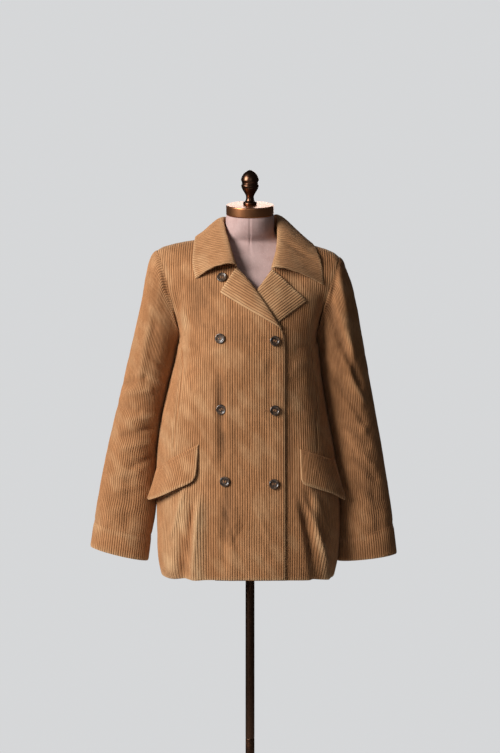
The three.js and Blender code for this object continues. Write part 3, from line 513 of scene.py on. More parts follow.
def on_front(x, z, out):
    level = level_at(x, z)
    return skin("front", angle_at(x, level), level, out)


def underlap(x, z):
    aside = smooth((x - LAP_X[0]) / (LAP_X[1] - LAP_X[0]))
    above = smooth((z - LAP_Z[0]) / (LAP_Z[1] - LAP_Z[0]))
    return -UNDERLAP * (1 - aside) * (1 - above)


def past_roll(x, z):
    (x0, z0), (x1, z1) = ROLL_LINE
    return ((x - x0) * (z1 - z0) - (z - z0) * (x1 - x0)) / math.hypot(x1 - x0, z1 - z0)


def worn(points):
    """Points of the cloth with the shoulders as they hang."""
    x, z = points[..., 0], points[..., 2]
    up = np.interp(x, *np.transpose(SHOULDER_UP)) * smooth((z - 1318) / 80)
    drawn = np.interp(z, *np.transpose(SHOULDER_IN)) * smooth((x - 168) / 30)
    return points + np.stack((-drawn, np.zeros_like(x), up), axis=-1)


def groove(points, line, width, depth):
    """Displacement of a line pressed into the cloth, seen from the front."""
    best = np.full(points.shape[:-1], 1e9)
    for (x1, z1), (x2, z2) in zip(line, line[1:]):
        dx, dz = x2 - x1, z2 - z1
        t = np.clip(((points[..., 0] - x1) * dx + (points[..., 2] - z1) * dz) / (dx * dx + dz * dz), 0, 1)
        best = np.minimum(best, np.hypot(points[..., 0] - x1 - t * dx, points[..., 2] - z1 - t * dz))
    return -depth * np.exp(-((best / width) ** 2))


# ------------------------------------------------------------------ corduroy
def rib_profile(wales, height):
    """Round ribs with narrow grooves, each a little different from the next."""
    number = np.floor(wales)
    uneven = 1 + 0.14 * np.sin(number * 12.9898) * np.cos(number * 4.1414)
    return height * uneven * (np.abs(np.sin(math.pi * (wales - number))) ** 0.62 - 0.55)


class Cloth:
    """One piece of corduroy: a fine face that follows its wales, and a plain reverse."""

    def __init__(self, name, points, normals, across, along, thick):
        """points and normals are a grid, rows along the wales. across is the distance over the
        wales in mm at every point, along the distance along them at every row."""
        look = bpy.context.scene.jacket_cloth
        self.name = name
        self.thick = thick
        pitch = look.wale / MM
        first = math.floor(across.min() / pitch) - 1
        last = math.ceil(across.max() / pitch) + 1
        columns = (np.arange(first, last + 1)[:, None] + WALE_PHASES).ravel()
        rows = across.shape[0]
        column_mm = columns[None, :] * pitch
        along_mm = np.broadcast_to(np.asarray(along, float)[:, None], (rows, len(columns)))
        low, high = across[:, :1], across[:, -1:]
        self.across = np.clip(column_mm + 0.55 * waves(column_mm * 0.6, along_mm, 5), low, high)
        self.wales = (self.across - 0.55 * waves(self.across * 0.6, along_mm, 5)) / pitch
        self.from_low, self.from_high = self.across - low, high - self.across
        self.keep = np.arange(0, len(columns), len(WALE_PHASES))
        self.points = worn(self.spread(points, across))
        self.normals = unit(self.spread(normals, across))
        self.along = along_mm
        self.crush = smooth(0.5 + 0.9 * waves(self.points[..., 0] * 1.3, self.points[..., 2], 11) - 0.34)
        self.rib = rib_profile(self.wales, look.rib / MM) * (1 - 0.6 * self.crush)
        crinkled = smooth(0.5 + 0.8 * waves(self.points[..., 0], self.points[..., 2], 17))
        inside = smooth(np.minimum(self.from_low, self.from_high) / 12)
        self.relief = 0.45 * inside * crinkled * waves(self.across * 3.4, self.along * 2.6, 21)
        self.wear_and_shade = 0.35 * self.crush
        self.uv = np.stack((self.wales, self.along / pitch), axis=-1)

    def spread(self, grid, across):
        """Read a coarse grid at the fine columns."""
        fine = np.empty(self.across.shape + (3,))
        for row in range(across.shape[0]):
            for axis in range(3):
                fine[row, :, axis] = np.interp(self.across[row], across[row], grid[row, :, axis])
        return fine

    def sewn(self, distance, depth=1.3, fade=1.6):
        """The cloth dips into a seam, and its ribs end there."""
        self.relief -= depth * np.exp(-((distance / 2.2) ** 2))
        self.rib *= smooth(distance / fade)
        self.wear_and_shade += 0.3 * np.exp(-(((distance - 5.0) / 3.5) ** 2))

    def turned(self, distance, depth=1.3):
        """A free edge, turned and pressed, rounds over and rubs pale."""
        self.relief -= depth * np.exp(-((distance / 1.5) ** 2))
        self.wear_and_shade += 0.75 * np.exp(-((distance / 4.0) ** 2))

    def pressed(self, distance, depth=0.8, width=1.5):
        """A row of stitching pulls the pile down."""
        self.relief -= depth * np.exp(-((distance / width) ** 2))

    def rubbed(self, name, share=1.0):
        """Ridges of the folds rub pale, and their troughs get painted shade."""
        self.wear_and_shade += 0.09 * share * np.clip(fold_height(name, self.points), -3, 6)

    def paint(self, patches):
        """Painted shade (tone < 0) and nap rubbed pale (tone > 0), as soft uneven patches."""
        for x, z, wide, high, tone in zip(*patches.values()):
            far = ((self.points[..., 0] - x) / wide) ** 2 + ((self.points[..., 2] - z) / high) ** 2
            self.wear_and_shade += tone * np.exp(-far)

    def surface(self):
        return self.points + self.normals * (self.rib + self.relief)[..., None]

    def build(self, replaced, closed=False):
        face = self.surface()
        reverse = (self.points - self.normals * self.thick)[:, self.keep]
        rows, fine, coarse = face.shape[0], face.shape[1], len(self.keep)
        vertices = np.concatenate((face.reshape(-1, 3), reverse.reshape(-1, 3))) * MM
        uv = np.concatenate((self.uv.reshape(-1, 2), self.uv[:, self.keep].reshape(-1, 2)))
        wear_and_shade = np.concatenate((self.wear_and_shade.ravel(), self.wear_and_shade[:, self.keep].ravel()))

        def quads(count, start, turn):
            i, j = np.meshgrid(np.arange(rows - 1), np.arange(count - 1), indexing="ij")
            a = start + i * count + j
            four = np.stack((a, a + 1, a + count + 1, a + count), axis=-1).reshape(-1, 4)
            return four[:, ::-1] if turn else four

        middle = (rows // 2, fine // 2)
        over = np.cross(face[middle[0], middle[1] + 1] - face[middle],
                        face[middle[0] + 1, middle[1]] - face[middle])
        turn = over @ self.normals[middle] < 0
        back_start = rows * fine
        faces = quads(fine, 0, turn).tolist()
        faces += quads(coarse, back_start, not turn).tolist()
        slots = [0] * ((rows - 1) * (fine - 1)) + [1] * ((rows - 1) * (coarse - 1))
        rims = []
        for row, flip in ((0, turn), (rows - 1, not turn)):
            for k in range(coarse - 1):
                top = list(range(row * fine + self.keep[k], row * fine + self.keep[k + 1] + 1))
                low = [back_start + row * coarse + k + 1, back_start + row * coarse + k]
                rims.append((top + low) if flip else (top + low)[::-1])
        if not closed:
            for column, inner, flip in ((0, 0, not turn), (int(self.keep[-1]), coarse - 1, turn)):
                for row in range(rows - 1):
                    a, b = row * fine + column, (row + 1) * fine + column
                    c, d = back_start + (row + 1) * coarse + inner, back_start + row * coarse + inner
                    rims.append([a, b, c, d] if flip else [d, c, b, a])
        faces += rims
        slots += [0] * len(rims)
        mesh = bpy.data.meshes.new(self.name)
        mesh.from_pydata(vertices.tolist(), [], faces)
        loop_vertices = np.empty(len(mesh.loops), dtype=np.int32)
        mesh.loops.foreach_get("vertex_index", loop_vertices)
        mesh.uv_layers.new(name="wales").data.foreach_set("uv", uv[loop_vertices].ravel())
        mesh.attributes.new("wear_and_shade", "FLOAT", "POINT").data.foreach_set("value", np.clip(wear_and_shade, -1, 1))
        mesh.polygons.foreach_set("material_index", slots)
        shell = bmesh.new()
        shell.from_mesh(mesh)
        bmesh.ops.remove_doubles(shell, verts=shell.verts, dist=4e-6)
        loose = [v for v in shell.verts if not v.link_faces]
        bmesh.ops.delete(shell, geom=loose, context="VERTS")
        shell.to_mesh(mesh)
        shell.free()
        piece = finish_piece(self.name, mesh, (corduroy(), cloth_reverse()), replaced)
        mesh.set_sharp_from_angle(angle=math.radians(62))
        return piece


def finish_piece(name, mesh, materials, replaced, smooth_faces=True):
    """Put a finished mesh in the scene, on the root body, in place of its CAD nodes."""
    mesh.materials.clear()
    for material in materials:
        mesh.materials.append(material)
    if smooth_faces:
        mesh.shade_smooth()
    piece = bpy.data.objects.new(name, mesh)
    bpy.context.scene.collection.objects.link(piece)
    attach(piece, "root")
    if replaced:
        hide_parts(*replaced)
    return piece


def upper_levels(count=30):
    return 1 + (1 - np.cos(np.linspace(0, math.pi, count + 1)[1:])) / 2


def panel_levels(low, step=ROW_STEP, upper=38):
    height = ARMPIT_Z - HEM_Z
    hem = low + np.array(HEM_ROWS) / height
    body = np.linspace(hem[-1] + step / height, 1, int(height / step))
    return np.concatenate((hem, body, upper_levels(upper)))


def girth(face, level):
    """Angles across one section and the distance of each from the centre, in mm."""
    angles = np.linspace(-RIGHT_ANGLE, RIGHT_ANGLE, 241)
    points = body_point(face, angles, np.full(241, level))
    distance = np.concatenate(([0], np.cumsum(np.linalg.norm(np.diff(points, axis=0), axis=1))))
    return angles, distance - distance[120]


def outer_angle(face, side, level):
    _, _, centre, square, _, _ = section(face, np.full(level.shape, side == "left"), level)
    angle = np.where(level <= 1, np.arccos((SEAM / 2 / np.maximum(centre, 1)) ** (square / 2)), RIGHT_ANGLE)
    return -angle if side == "right" else angle


def front_panel(side):
    is_right = side == "right"
    edge = RIGHT_EDGE if is_right else LEFT_EDGE
    levels = panel_levels((OVER_HEM_Z - HEM_Z) / (ARMPIT_Z - HEM_Z) if is_right else 0.0)
    places = level_at(edge["x"], edge["z"])
    places[-1] = 2.0
    inner = angle_at(np.interp(levels, places, edge["x"]), levels)
    outer = outer_angle("front", side, levels)
    share = np.linspace(0, 1, 131)[None, :]
    angle = mix(inner[:, None], outer[:, None], share)
    if is_right:
        angle = angle[:, ::-1]
    across = np.empty_like(angle)
    for row, level in enumerate(levels):
        angles, distance = girth("front", level)
        across[row] = np.interp(angle[row], angles, distance)
    level = np.broadcast_to(levels[:, None], angle.shape)
    at = body_point("front", angle, level)
    points = skin("front", angle, level, 0.0 if is_right else underlap(at[..., 0], at[..., 2]))
    points[-1, :, 1] -= SEAM / 2
    normals = body_normal("front", angle, level)
    along = np.where(levels <= 1, levels * (ARMPIT_Z - HEM_Z), ARMPIT_Z - HEM_Z + (levels - 1) * 210)
    cloth = Cloth(f"jacket_front_{side}", points, normals, across, along, CLOTH)
    side_seam, free = (cloth.from_low, cloth.from_high) if is_right else (cloth.from_high, cloth.from_low)
    cloth.sewn(side_seam, mix(1.3, 0.35, smooth((cloth.along - 470) / 20)))
    cloth.turned(free)
    cloth.turned(cloth.along - along[0], 0.9)
    cloth.sewn(along[-1] - cloth.along, 0.6)
    # Painted shade from the dark patches and fold troughs; pale wear from the pale patches and fold ridges.
    cloth.paint(WEAR_AND_SHADE_PATCHES)
    cloth.rubbed("front")
    pressed = groove(cloth.points, DARTS[side], 2.0, 1.0)
    cloth.relief += 2.0 * pressed
    cloth.wear_and_shade -= 0.45 * groove(cloth.points, DARTS[side], 6.0, 1.0) + 0.6 * -pressed
    return cloth.build([f"front_{side}"])


def back_panel():
    shares = panel_levels(0.0, 8.0, 26)
    across_share = np.linspace(-1, 1, 241)
    tops = np.full(241, 2.0)
    half = TIP["x"] * np.abs(np.sin(across_share * RIGHT_ANGLE)) ** (2 / BODY["square"][-1])
    rise = seam_z(NECK_POINT_X) - BACK_NECK["z"]
    neck_z = BACK_NECK["z"] + rise * (half / NECK_POINT_X) ** BACK_NECK["curve"]
    tops = np.where(half < NECK_POINT_X, level_at(half, np.minimum(neck_z, seam_z(half))), tops)
    share = shares[:, None]
    level = np.where(share <= 1, share, 1 + (share - 1) * (tops[None, :] - 1))
    reach = np.where(
        across_share < 0, -outer_angle("back", "right", level), outer_angle("back", "left", level))
    angle = across_share * reach
    points = skin("back", angle, level)
    points[..., 1] += np.where(level >= 2, SEAM / 2, 0)
    across = np.empty_like(angle)
    for row, value in enumerate(shares):
        angles, distance = girth("back", value)
        across[row] = np.interp(angle[row], angles, distance)
    along = np.where(shares <= 1, shares * (ARMPIT_Z - HEM_Z), ARMPIT_Z - HEM_Z + (shares - 1) * 200)
    cloth = Cloth("jacket_back", points, body_normal("back", angle, level), across, along, CLOTH)
    depth = mix(1.3, 0.35, smooth((cloth.along - 470) / 20))
    cloth.sewn(cloth.from_low, depth)
    cloth.sewn(cloth.from_high, depth)
    cloth.turned(cloth.along, 0.9)
    cloth.sewn(along[-1] - cloth.along, 0.6)
    # Fold troughs get painted shade; fold ridges rub pale.
    cloth.rubbed("back")
    return cloth.build(["back"])


def sleeve_surface(side, run, turn):
    """Points of a sleeve: turn is 0 along its outer edge and goes round by the front."""
    outwards = -1 if side == "right" else 1
    run, turn = np.broadcast_arrays(run, turn)
    r = read(SLEEVE[side], run)
    phi = turn * math.tau
    share = (1 + np.cos(phi)) / 2
    deep = np.where(np.sin(phi) >= 0, r["front"], r["back"])
    point = np.stack((mix(r["inX"], r["outX"], share), r["y"] - np.sin(phi) * deep,
                      mix(r["inZ"], r["outZ"], share)), axis=-1)
    edge = np.full(phi.shape, outwards * RIGHT_ANGLE)
    hole = np.where((np.sin(phi) >= 0)[..., None], body_point("front", edge, 1 + share),
                    body_point("back", edge, 1 + share))
    hole[..., 0] += outwards * (SEAM + 0.1)
    return mix(hole, point, np.sqrt(np.clip(run / HEAD_RUN, 0, 1))[..., None])


def sleeve(side):
    outwards = -1 if side == "right" else 1
    length = 615.0
    ends = 1 - np.array(HEM_ROWS)[::-1] / length
    head = HEAD_RUN * np.linspace(0, 1, 16) ** 1.6
    runs = np.concatenate((head, np.linspace(head[-1], ends[0], int(length * 0.87 / ROW_STEP))[1:-1], ends))
    turn = np.linspace(-0.5, 0.5, 241)
    run = runs[:, None]
    points = sleeve_surface(side, run, turn[None, :])
    low = sleeve_surface(side, run, turn[None, :] - 0.004)
    high = sleeve_surface(side, run, turn[None, :] + 0.004)
    before = sleeve_surface(side, np.maximum(run - 0.01, 0), turn[None, :])
    after = sleeve_surface(side, np.minimum(run + 0.01, 1), turn[None, :])
    normals = unit(np.cross(after - before, high - low)) * -outwards
    share = (1 + np.cos(turn * math.tau)) / 2
    seam_way = np.where((np.sin(turn * math.tau) >= 0)[:, None],
                        body_normal("front", np.full(241, outwards * RIGHT_ANGLE), 1 + share),
                        body_normal("back", np.full(241, outwards * RIGHT_ANGLE), 1 + share))
    joined = smooth((share - SEWN_FROM) / (SEWN_FULL - SEWN_FROM))[None, :] * (1 - smooth(run / HEAD_RUN))
    normals = unit(mix(normals, seam_way[None], joined[..., None]))
    settle = smooth(run / 0.05) * smooth((1 - run) / 0.03 + 0.3) * smooth(share / 0.12)[None, :]
    front_half = smooth(0.5 + 4 * np.sin(turn * math.tau))[None, :]
    creases = (fold_height(f"sleeve_{side}_front", points) * front_half
               + fold_height(f"sleeve_{side}_back", points) * (1 - front_half))
    points = points + normals * (1.3 * creases * settle)[..., None]
    puff = 2.5 if side == "right" else 1.0
    head_puff = puff * smooth(run / 0.045) * (1 - smooth((run - 0.04) / 0.13)) * share[None, :] ** 1.5
    points = points + normals * head_puff[..., None]
    body = read(BODY, np.clip(points[:, :1, 2], HEM_Z, ARMPIT_Z))[side]
    gap = np.abs(points[:, :1, 0]) - body + LEAN_IN + ARMPIT_CLOSE * (1 - smooth((run - 0.04) / 0.12))
    leaning = smooth(run / 0.03) * (1 - smooth((run - 0.8) / 0.15) * (side == "right"))
    points[..., 0] -= outwards * np.clip(gap, 0, 14) * (1 - share[None, :]) ** 2 * leaning
    steps = np.linalg.norm(np.diff(points, axis=1), axis=2)
    across = np.concatenate((np.zeros((len(runs), 1)), np.cumsum(steps, axis=1)), axis=1)
    across -= across[:, 120:121]
    cloth = Cloth(f"jacket_sleeve_{side}", points, normals, across, runs * length, CLOTH)
    cloth.sewn(cloth.from_low)
    cloth.sewn(cloth.from_high)
    cloth.sewn(cloth.along, 0.2, 7.0)
    # Painted shade: the wearer's left sleeve is darkened all over.
    cloth.wear_and_shade -= SLEEVE_PAINTED_SHADE[side]
    facing = smooth(0.5 - cloth.points[..., 1] / 24)
    # Fold troughs get painted shade; fold ridges rub pale.
    cloth.rubbed(f"sleeve_{side}_front", facing)
    cloth.rubbed(f"sleeve_{side}_back", 1 - facing)
    cloth.turned(length - cloth.along, 0.9)
    cloth.pressed(np.abs(length - cloth.along - CUFF_STITCH), 1.5, 2.4)
    cloth.wear_and_shade += 0.3 * np.exp(-(((length - cloth.along - CUFF_STITCH + 6) / 4) ** 2))
    return cloth.build([f"sleeve_{side}"], closed=True)


def corner_cut(distance, radius):
    """How far an edge stays back at a distance from a corner of a given radius."""
    s = np.clip(1 - distance / radius, 0, 1)
    return radius * (1 - np.sqrt(1 - s * s))


def bezier(a, b, c, d, t):
    s = 1 - t
    return a * s ** 3 + 3 * b * s * s * t + 3 * c * s * t * t + d * t ** 3


def over_shoulder(at, line):
    """A line round the collar, eased and raised where it crosses the shoulder seams."""
    reach = 13
    kernel = np.hanning(2 * reach + 3)[1:-1]
    padded = np.pad(line, ((reach, reach), (0, 0)), mode="edge")
    eased = np.stack([np.convolve(padded[:, k], kernel / kernel.sum(), "valid") for k in range(3)], axis=-1)
    near = sum(np.exp(-(((at - COLLAR["at"][k]) / 0.06) ** 2)) for k in (3, 7))[:, None]
    return mix(line, eased, np.minimum(near, 1)) + near * np.array((0, 0, SHOULDER_CLEAR))


def collar():
    at = np.linspace(0, 1, 241)
    shares = np.concatenate((np.linspace(0, 0.24, 7), np.linspace(0.27, 0.42, 9), np.linspace(0.46, 0.97, 15),
                             (0.985, 1.0)))
    r = read(COLLAR, at)
    front_face = (at <= COLLAR["at"][3]) | (at >= COLLAR["at"][7])

    def on_body(x, z, out, cap):
        level = np.minimum(level_at(x, z), cap)
        angle = angle_at(x, level)
        return np.where(
            front_face[:, None], skin("front", angle, level, out), skin("back", angle, level, out))

    seat = over_shoulder(at, on_body(r["seatX"], r["seatZ"], STAND_GAP, 2.0))
    roll = np.stack((r["rollX"], r["rollY"], r["rollZ"]), axis=-1)
    edge = over_shoulder(at, on_body(r["edgeX"], r["edgeZ"], FALL_GAP + FACED, 3.0))
    rise, fall = roll - seat, edge - roll
    over = unit(unit(rise) + unit(fall))
    reach = np.minimum(ROLL_ROUND / 2, np.linalg.norm(rise, axis=1) * 0.6)[:, None]
    bow = np.where(at < 0.5, COLLAR_END_BOW["right"], COLLAR_END_BOW["left"])
    near = np.maximum(0, 1 - np.minimum(at, 1 - at) / COLLAR_END)
    from_end = np.minimum(at, 1 - at) * 560
    cut = corner_cut(from_end, CORNER) / np.linalg.norm(fall, axis=1)
    points = np.empty((len(shares), 241, 3))
    for row, v in enumerate(shares):
        if v < STAND_SHARE:
            points[row] = bezier(seat, seat + rise * 0.4, roll - over * reach, roll, v / STAND_SHARE)
        else:
            t = (v - STAND_SHARE) / (1 - STAND_SHARE)
            t = (t * (1 - cut))[:, None]
            points[row] = bezier(roll, roll + over * ROLL_ROUND * 1.6, edge - fall * 0.35, edge, t)
            points[row, :, 2] += bow * near * np.sin(math.pi * t[:, 0])
    normals = grid_normals(points, (0, 0, 0))
    top = points.shape[0] // 2
    outward = points[top, 120] - np.array((0, 0, points[top, 120, 2]))
    if normals[top, 120] @ outward < 0:
        normals = -normals
    fall_share = np.clip((shares - STAND_SHARE) / (1 - STAND_SHARE), 0, 1)[:, None]
    fade_at_ends = smooth(np.minimum(at, 1 - at) / 0.08)[None, :]
    ripple = 1.5 * fall_share * np.sin(at * 31.0 + 0.6)[None, :] * fade_at_ends
    past_crease = (at - 0.86)[None, :] * 480 - 10 * fall_share
    crease = -2.4 * np.exp(-(past_crease / 7) ** 2) * np.sin(math.pi * fall_share)
    lift = np.where(at < 0.5, COLLAR_END_LIFT["right"], COLLAR_END_LIFT["left"])
    raised = lift * np.exp(-((from_end / 24) ** 2)) * np.sin(math.pi * fall_share ** 0.8)
    points = points + normals * (ripple + crease + raised)[..., None]
    steps = np.linalg.norm(np.diff(points, axis=1), axis=2)
    lengths = np.concatenate((np.zeros((len(shares), 1)), np.cumsum(steps, axis=1)), axis=1)
    lengths -= lengths[:, 120:121]
    across = mix(lengths[len(shares) // 2][None, :], lengths, 0.45)
    down = np.linalg.norm(np.diff(points, axis=0), axis=2).mean(axis=1)
    along = np.concatenate(([0], np.cumsum(down)))
    cloth = Cloth("jacket_collar", points, normals, across, along, FACED)
    cloth.turned(along[-1] - cloth.along)
    for end in (cloth.from_low, cloth.from_high):
        cloth.wear_and_shade += 0.5 * np.exp(-((end / 4) ** 2))
    cloth.wear_and_shade += 0.3 * np.exp(-(((cloth.along - along[12]) / 7) ** 2)) + 0.16
    cloth.rib *= 0.85 - 0.5 * np.exp(-(((cloth.along - along[7]) / 9) ** 2))
    return cloth.build(["collar"])


def roll_width(start, edge_way, inward, length, lean, rows, width):
    """Width of the right lapel at each row, out to the folded edge of the front."""
    edge = np.stack((RIGHT_EDGE["x"], RIGHT_EDGE["z"]), axis=1) - start
    run, reach = edge @ edge_way, edge @ inward
    for _ in range(8):
        width = np.interp(rows * (length + lean * width), run, reach) + ROLL_PAST
    return width


def lapel(side):
    """The wales run along the free edge, so the roll line cuts across them."""
    is_right = side == "right"
    start, tip, notch, roll = (np.array(LAPEL[side][k], float) for k in ("break", "tip", "notch", "roll"))
    edge_way = (tip - start) / np.linalg.norm(tip - start)
    inward = np.array((-edge_way[1], edge_way[0]))
    if (notch - start) @ inward < 0:
        inward = -inward
    length = (tip - start) @ edge_way
    width_high = (notch - start) @ inward
    width_low = max((roll - start) @ inward, 0.5)
    lean = (notch - tip) @ edge_way / width_high
    low_lean = (roll - start) @ edge_way / max(width_low, 1.0) if not is_right else 0.0
    rows = np.concatenate(((0, 0.006, 0.016), np.linspace(0.03, 0.97, 26), (0.984, 0.994, 1)))
    share = np.linspace(0, 1, 61)[None, :]
    width = mix(width_low, width_high, rows)
    if is_right:
        width = roll_width(start, edge_way, inward, length, lean, rows, width)
    width = width[:, None]
    across = share * width
    top = length + lean * across - corner_cut(across, CORNER)
    reach = mix(low_lean * across, top, rows[:, None])
    x = start[0] + reach * edge_way[0] + across * inward[0]
    z = start[1] + reach * edge_way[1] + across * inward[1]
    hump = 4 * share * (1 - share)
    rest = 0.0 if is_right else underlap(x, z)
    opened = 1.0 if is_right else smooth(past_roll(x, z) / UNDER_LAPEL)
    lift = LAPEL_LIFT * hump * opened * np.minimum(1, rows[:, None] * 4)
    lift = lift + 1.1 * waves(x * 1.6, z * 1.6, 3 if is_right else 8) * hump
    points = on_front(x, z, rest + LAPEL_GAP + lift + FACED)
    normals = grid_normals(points, (0, -1, 0))
    across = np.ascontiguousarray(np.broadcast_to(across, points.shape[:2]))
    cloth = Cloth(f"jacket_lapel_{side}", points, normals, across, rows * length, FACED)
    cloth.turned(cloth.from_low)
    cloth.relief -= (FACED + LAPEL_GAP) * np.exp(-((cloth.from_high / 2.4) ** 2))
    cloth.wear_and_shade += 0.3 * np.exp(-((cloth.from_high / 6) ** 2))
    cloth.turned(length - cloth.along)
    cloth.wear_and_shade += 0.2 if is_right else 0.45
    cloth.rib *= 0.8 * smooth(cloth.from_high / 4)
    return cloth.build([f"lapel_{side}"])


def flap_point(side, run, v, out=0.0):
    r = read(FLAP[side], run)
    v = v * (1 - corner_cut(np.minimum(run, 1 - run) * 95, 7) / 70)
    x, z = mix(r["seamX"], r["edgeX"], v), mix(r["seamZ"], r["edgeZ"], v)
    rest = 0.0 if side == "right" else underlap(x, z)
    return on_front(x, z, rest + 2.6 * SEAM + 1.25 * r["lift"] * v ** 1.3 + FACED + out)


def pocket_flap(side):
    run = np.linspace(0, 1, 81)[None, :]
    v = np.concatenate(((0, 0.012, 0.03, 0.05), np.linspace(0.08, 0.96, 16), (0.98, 0.99, 1)))[:, None]
    points = flap_point(side, run, v)
    normals = grid_normals(points, (0, -1, 0))
    middle = points[len(v) // 2]
    steps = np.linalg.norm(np.diff(middle[:, :2], axis=0), axis=1)
    across = np.concatenate(([0], np.cumsum(steps)))
    if side == "left":
        across = across[::-1]
    across = across - across.mean()
    if across[0] > across[-1]:
        points, normals, across = points[:, ::-1], normals[:, ::-1], across[::-1]
    across = np.tile(across, (len(v), 1))
    height = 70.0
    cloth = Cloth(f"jacket_flap_{side}", points, normals, across, v[:, 0] * height, FACED)
    cloth.relief -= 3.4 * np.exp(-((cloth.along / 2.2) ** 2))
    for line in (6.0, 11.0):
        cloth.pressed(np.abs(cloth.along - line), 0.7, 1.3)
    cloth.turned(height - cloth.along)
    cloth.turned(cloth.from_low)
    cloth.turned(cloth.from_high)
    return cloth.build([f"pocket_flap_{side}"])


# ------------------------------------------------------------------ materials
def nodes_of(material):
    material.use_nodes = True
    tree = material.node_tree
    tree.nodes.clear()
    shader = tree.nodes.new("ShaderNodeBsdfPrincipled")
    output = tree.nodes.new("ShaderNodeOutputMaterial")
    tree.links.new(shader.outputs[0], output.inputs["Surface"])
    return tree, shader


def math_node(tree, operation, first, second=None, clamp=False):
    node = tree.nodes.new("ShaderNodeMath")
    node.operation = operation
    node.use_clamp = clamp
    for socket, value in zip(node.inputs, (first, second)):
        if isinstance(value, bpy.types.NodeSocket):
            tree.links.new(value, socket)
        elif value is not None:
            socket.default_value = value
    return node.outputs[0]


def range_node(tree, value, low, high, to_low=0.0, to_high=1.0, kind="SMOOTHSTEP"):
    node = tree.nodes.new("ShaderNodeMapRange")
    node.interpolation_type = kind
    tree.links.new(value, node.inputs["Value"])
    for name, number in (("From Min", low), ("From Max", high), ("To Min", to_low), ("To Max", to_high)):
        node.inputs[name].default_value = number
    return node.outputs["Result"]


def colour_mix(tree, share, first, second, blend="MIX"):
    node = tree.nodes.new("ShaderNodeMix")
    node.data_type = "RGBA"
    node.blend_type = blend
    sockets = {"Factor": node.inputs[0], "A": node.inputs[6], "B": node.inputs[7]}
    for name, value in (("Factor", share), ("A", first), ("B", second)):
        if isinstance(value, bpy.types.NodeSocket):
            tree.links.new(value, sockets[name])
        elif name == "Factor":
            sockets[name].default_value = value
        else:
            sockets[name].default_value = (*value, 1.0)
    return node.outputs[2]


def noise_node(tree, vector, scale, detail=2.0, roughness=0.5):
    node = tree.nodes.new("ShaderNodeTexNoise")
    tree.links.new(vector, node.inputs["Vector"])
    node.inputs["Scale"].default_value = scale
    node.inputs["Detail"].default_value = detail
    node.inputs["Roughness"].default_value = roughness
    return node.outputs["Fac"]


def stretch_node(tree, vector, scale):
    node = tree.nodes.new("ShaderNodeMapping")
    node.inputs["Scale"].default_value = scale
    tree.links.new(vector, node.inputs["Vector"])
    return node.outputs[0]


def object_coords(tree):
    return tree.nodes.new("ShaderNodeTexCoord").outputs["Object"]


def bump_into(tree, shader, height, strength, distance):
    bump = tree.nodes.new("ShaderNodeBump")
    bump.inputs["Strength"].default_value = strength
    bump.inputs["Distance"].default_value = distance
    tree.links.new(height, bump.inputs["Height"])
    tree.links.new(bump.outputs[0], shader.inputs["Normal"])


def shader_group(name, inputs, outputs):
    """An empty shader node group with named sockets, and its input and output nodes."""
    tree = bpy.data.node_groups.new(name, "ShaderNodeTree")
    for label, kind in inputs:
        tree.interface.new_socket(label, in_out="INPUT", socket_type=kind)
    for label, kind in outputs:
        tree.interface.new_socket(label, in_out="OUTPUT", socket_type=kind)
    return tree, tree.nodes.new("NodeGroupInput"), tree.nodes.new("NodeGroupOutput")


def place_group(tree, group, **values):
    node = tree.nodes.new("ShaderNodeGroup")
    node.node_tree = group
    for label, value in values.items():
        socket = node.inputs[label.replace("_", " ")]
        if isinstance(value, bpy.types.NodeSocket):
            tree.links.new(value, socket)
        else:
            socket.default_value = value
    return node.outputs


def wale_group():
    """Grooves (the mask for their painted shade) and ribs from a piece's own wale coordinates, and how its
    pile lies.
    """
    found = bpy.data.node_groups.get("wales_and_pile")
    if found:
        return found
    tree, source, out = shader_group(
        "wales_and_pile",
        (("Wales", "NodeSocketVector"), ("Place", "NodeSocketVector")),
        (("GrooveShade", "NodeSocketFloat"), ("Streak", "NodeSocketFloat"), ("Blotch", "NodeSocketFloat"),
         ("Height", "NodeSocketFloat")),
    )
    wales, place = source.outputs[0], source.outputs[1]
    parts = tree.nodes.new("ShaderNodeSeparateXYZ")
    tree.links.new(wales, parts.inputs[0])
    phase = math_node(tree, "FRACT", parts.outputs["X"])
    off_middle = math_node(tree, "ABSOLUTE", math_node(tree, "SUBTRACT", phase, 0.5))
    away = math_node(tree, "MULTIPLY", off_middle, 2.0)
    groove_shade_mask = range_node(tree, away, 0.5, 0.97)
    tufts = noise_node(tree, stretch_node(tree, wales, (1.7, 0.9, 1)), 3.1, 3.0, 0.6)
    brushed = noise_node(tree, stretch_node(tree, wales, (1.0, 0.16, 1)), 1.3, 3.0, 0.55)
    strokes = math_node(tree, "ADD", math_node(tree, "MULTIPLY", tufts, 0.45),
                        math_node(tree, "MULTIPLY", brushed, 0.55))
    blotch = math_node(tree, "ADD", math_node(tree, "MULTIPLY", noise_node(tree, place, 9.0, 4.0, 0.6), 0.6),
                       math_node(tree, "MULTIPLY", noise_node(tree, place, 42.0, 3.0, 0.6), 0.4))
    fibres = noise_node(tree, wales, 16.0, 3.0, 0.7)
    height = math_node(tree, "ADD", math_node(tree, "MULTIPLY", fibres, 0.45),
                       math_node(tree, "MULTIPLY", tufts, 0.55))
    tree.links.new(groove_shade_mask, out.inputs["GrooveShade"])
    tree.links.new(range_node(tree, strokes, 0.34, 0.66), out.inputs["Streak"])
    tree.links.new(range_node(tree, blotch, 0.36, 0.62), out.inputs["Blotch"])
    tree.links.new(height, out.inputs["Height"])
    return tree


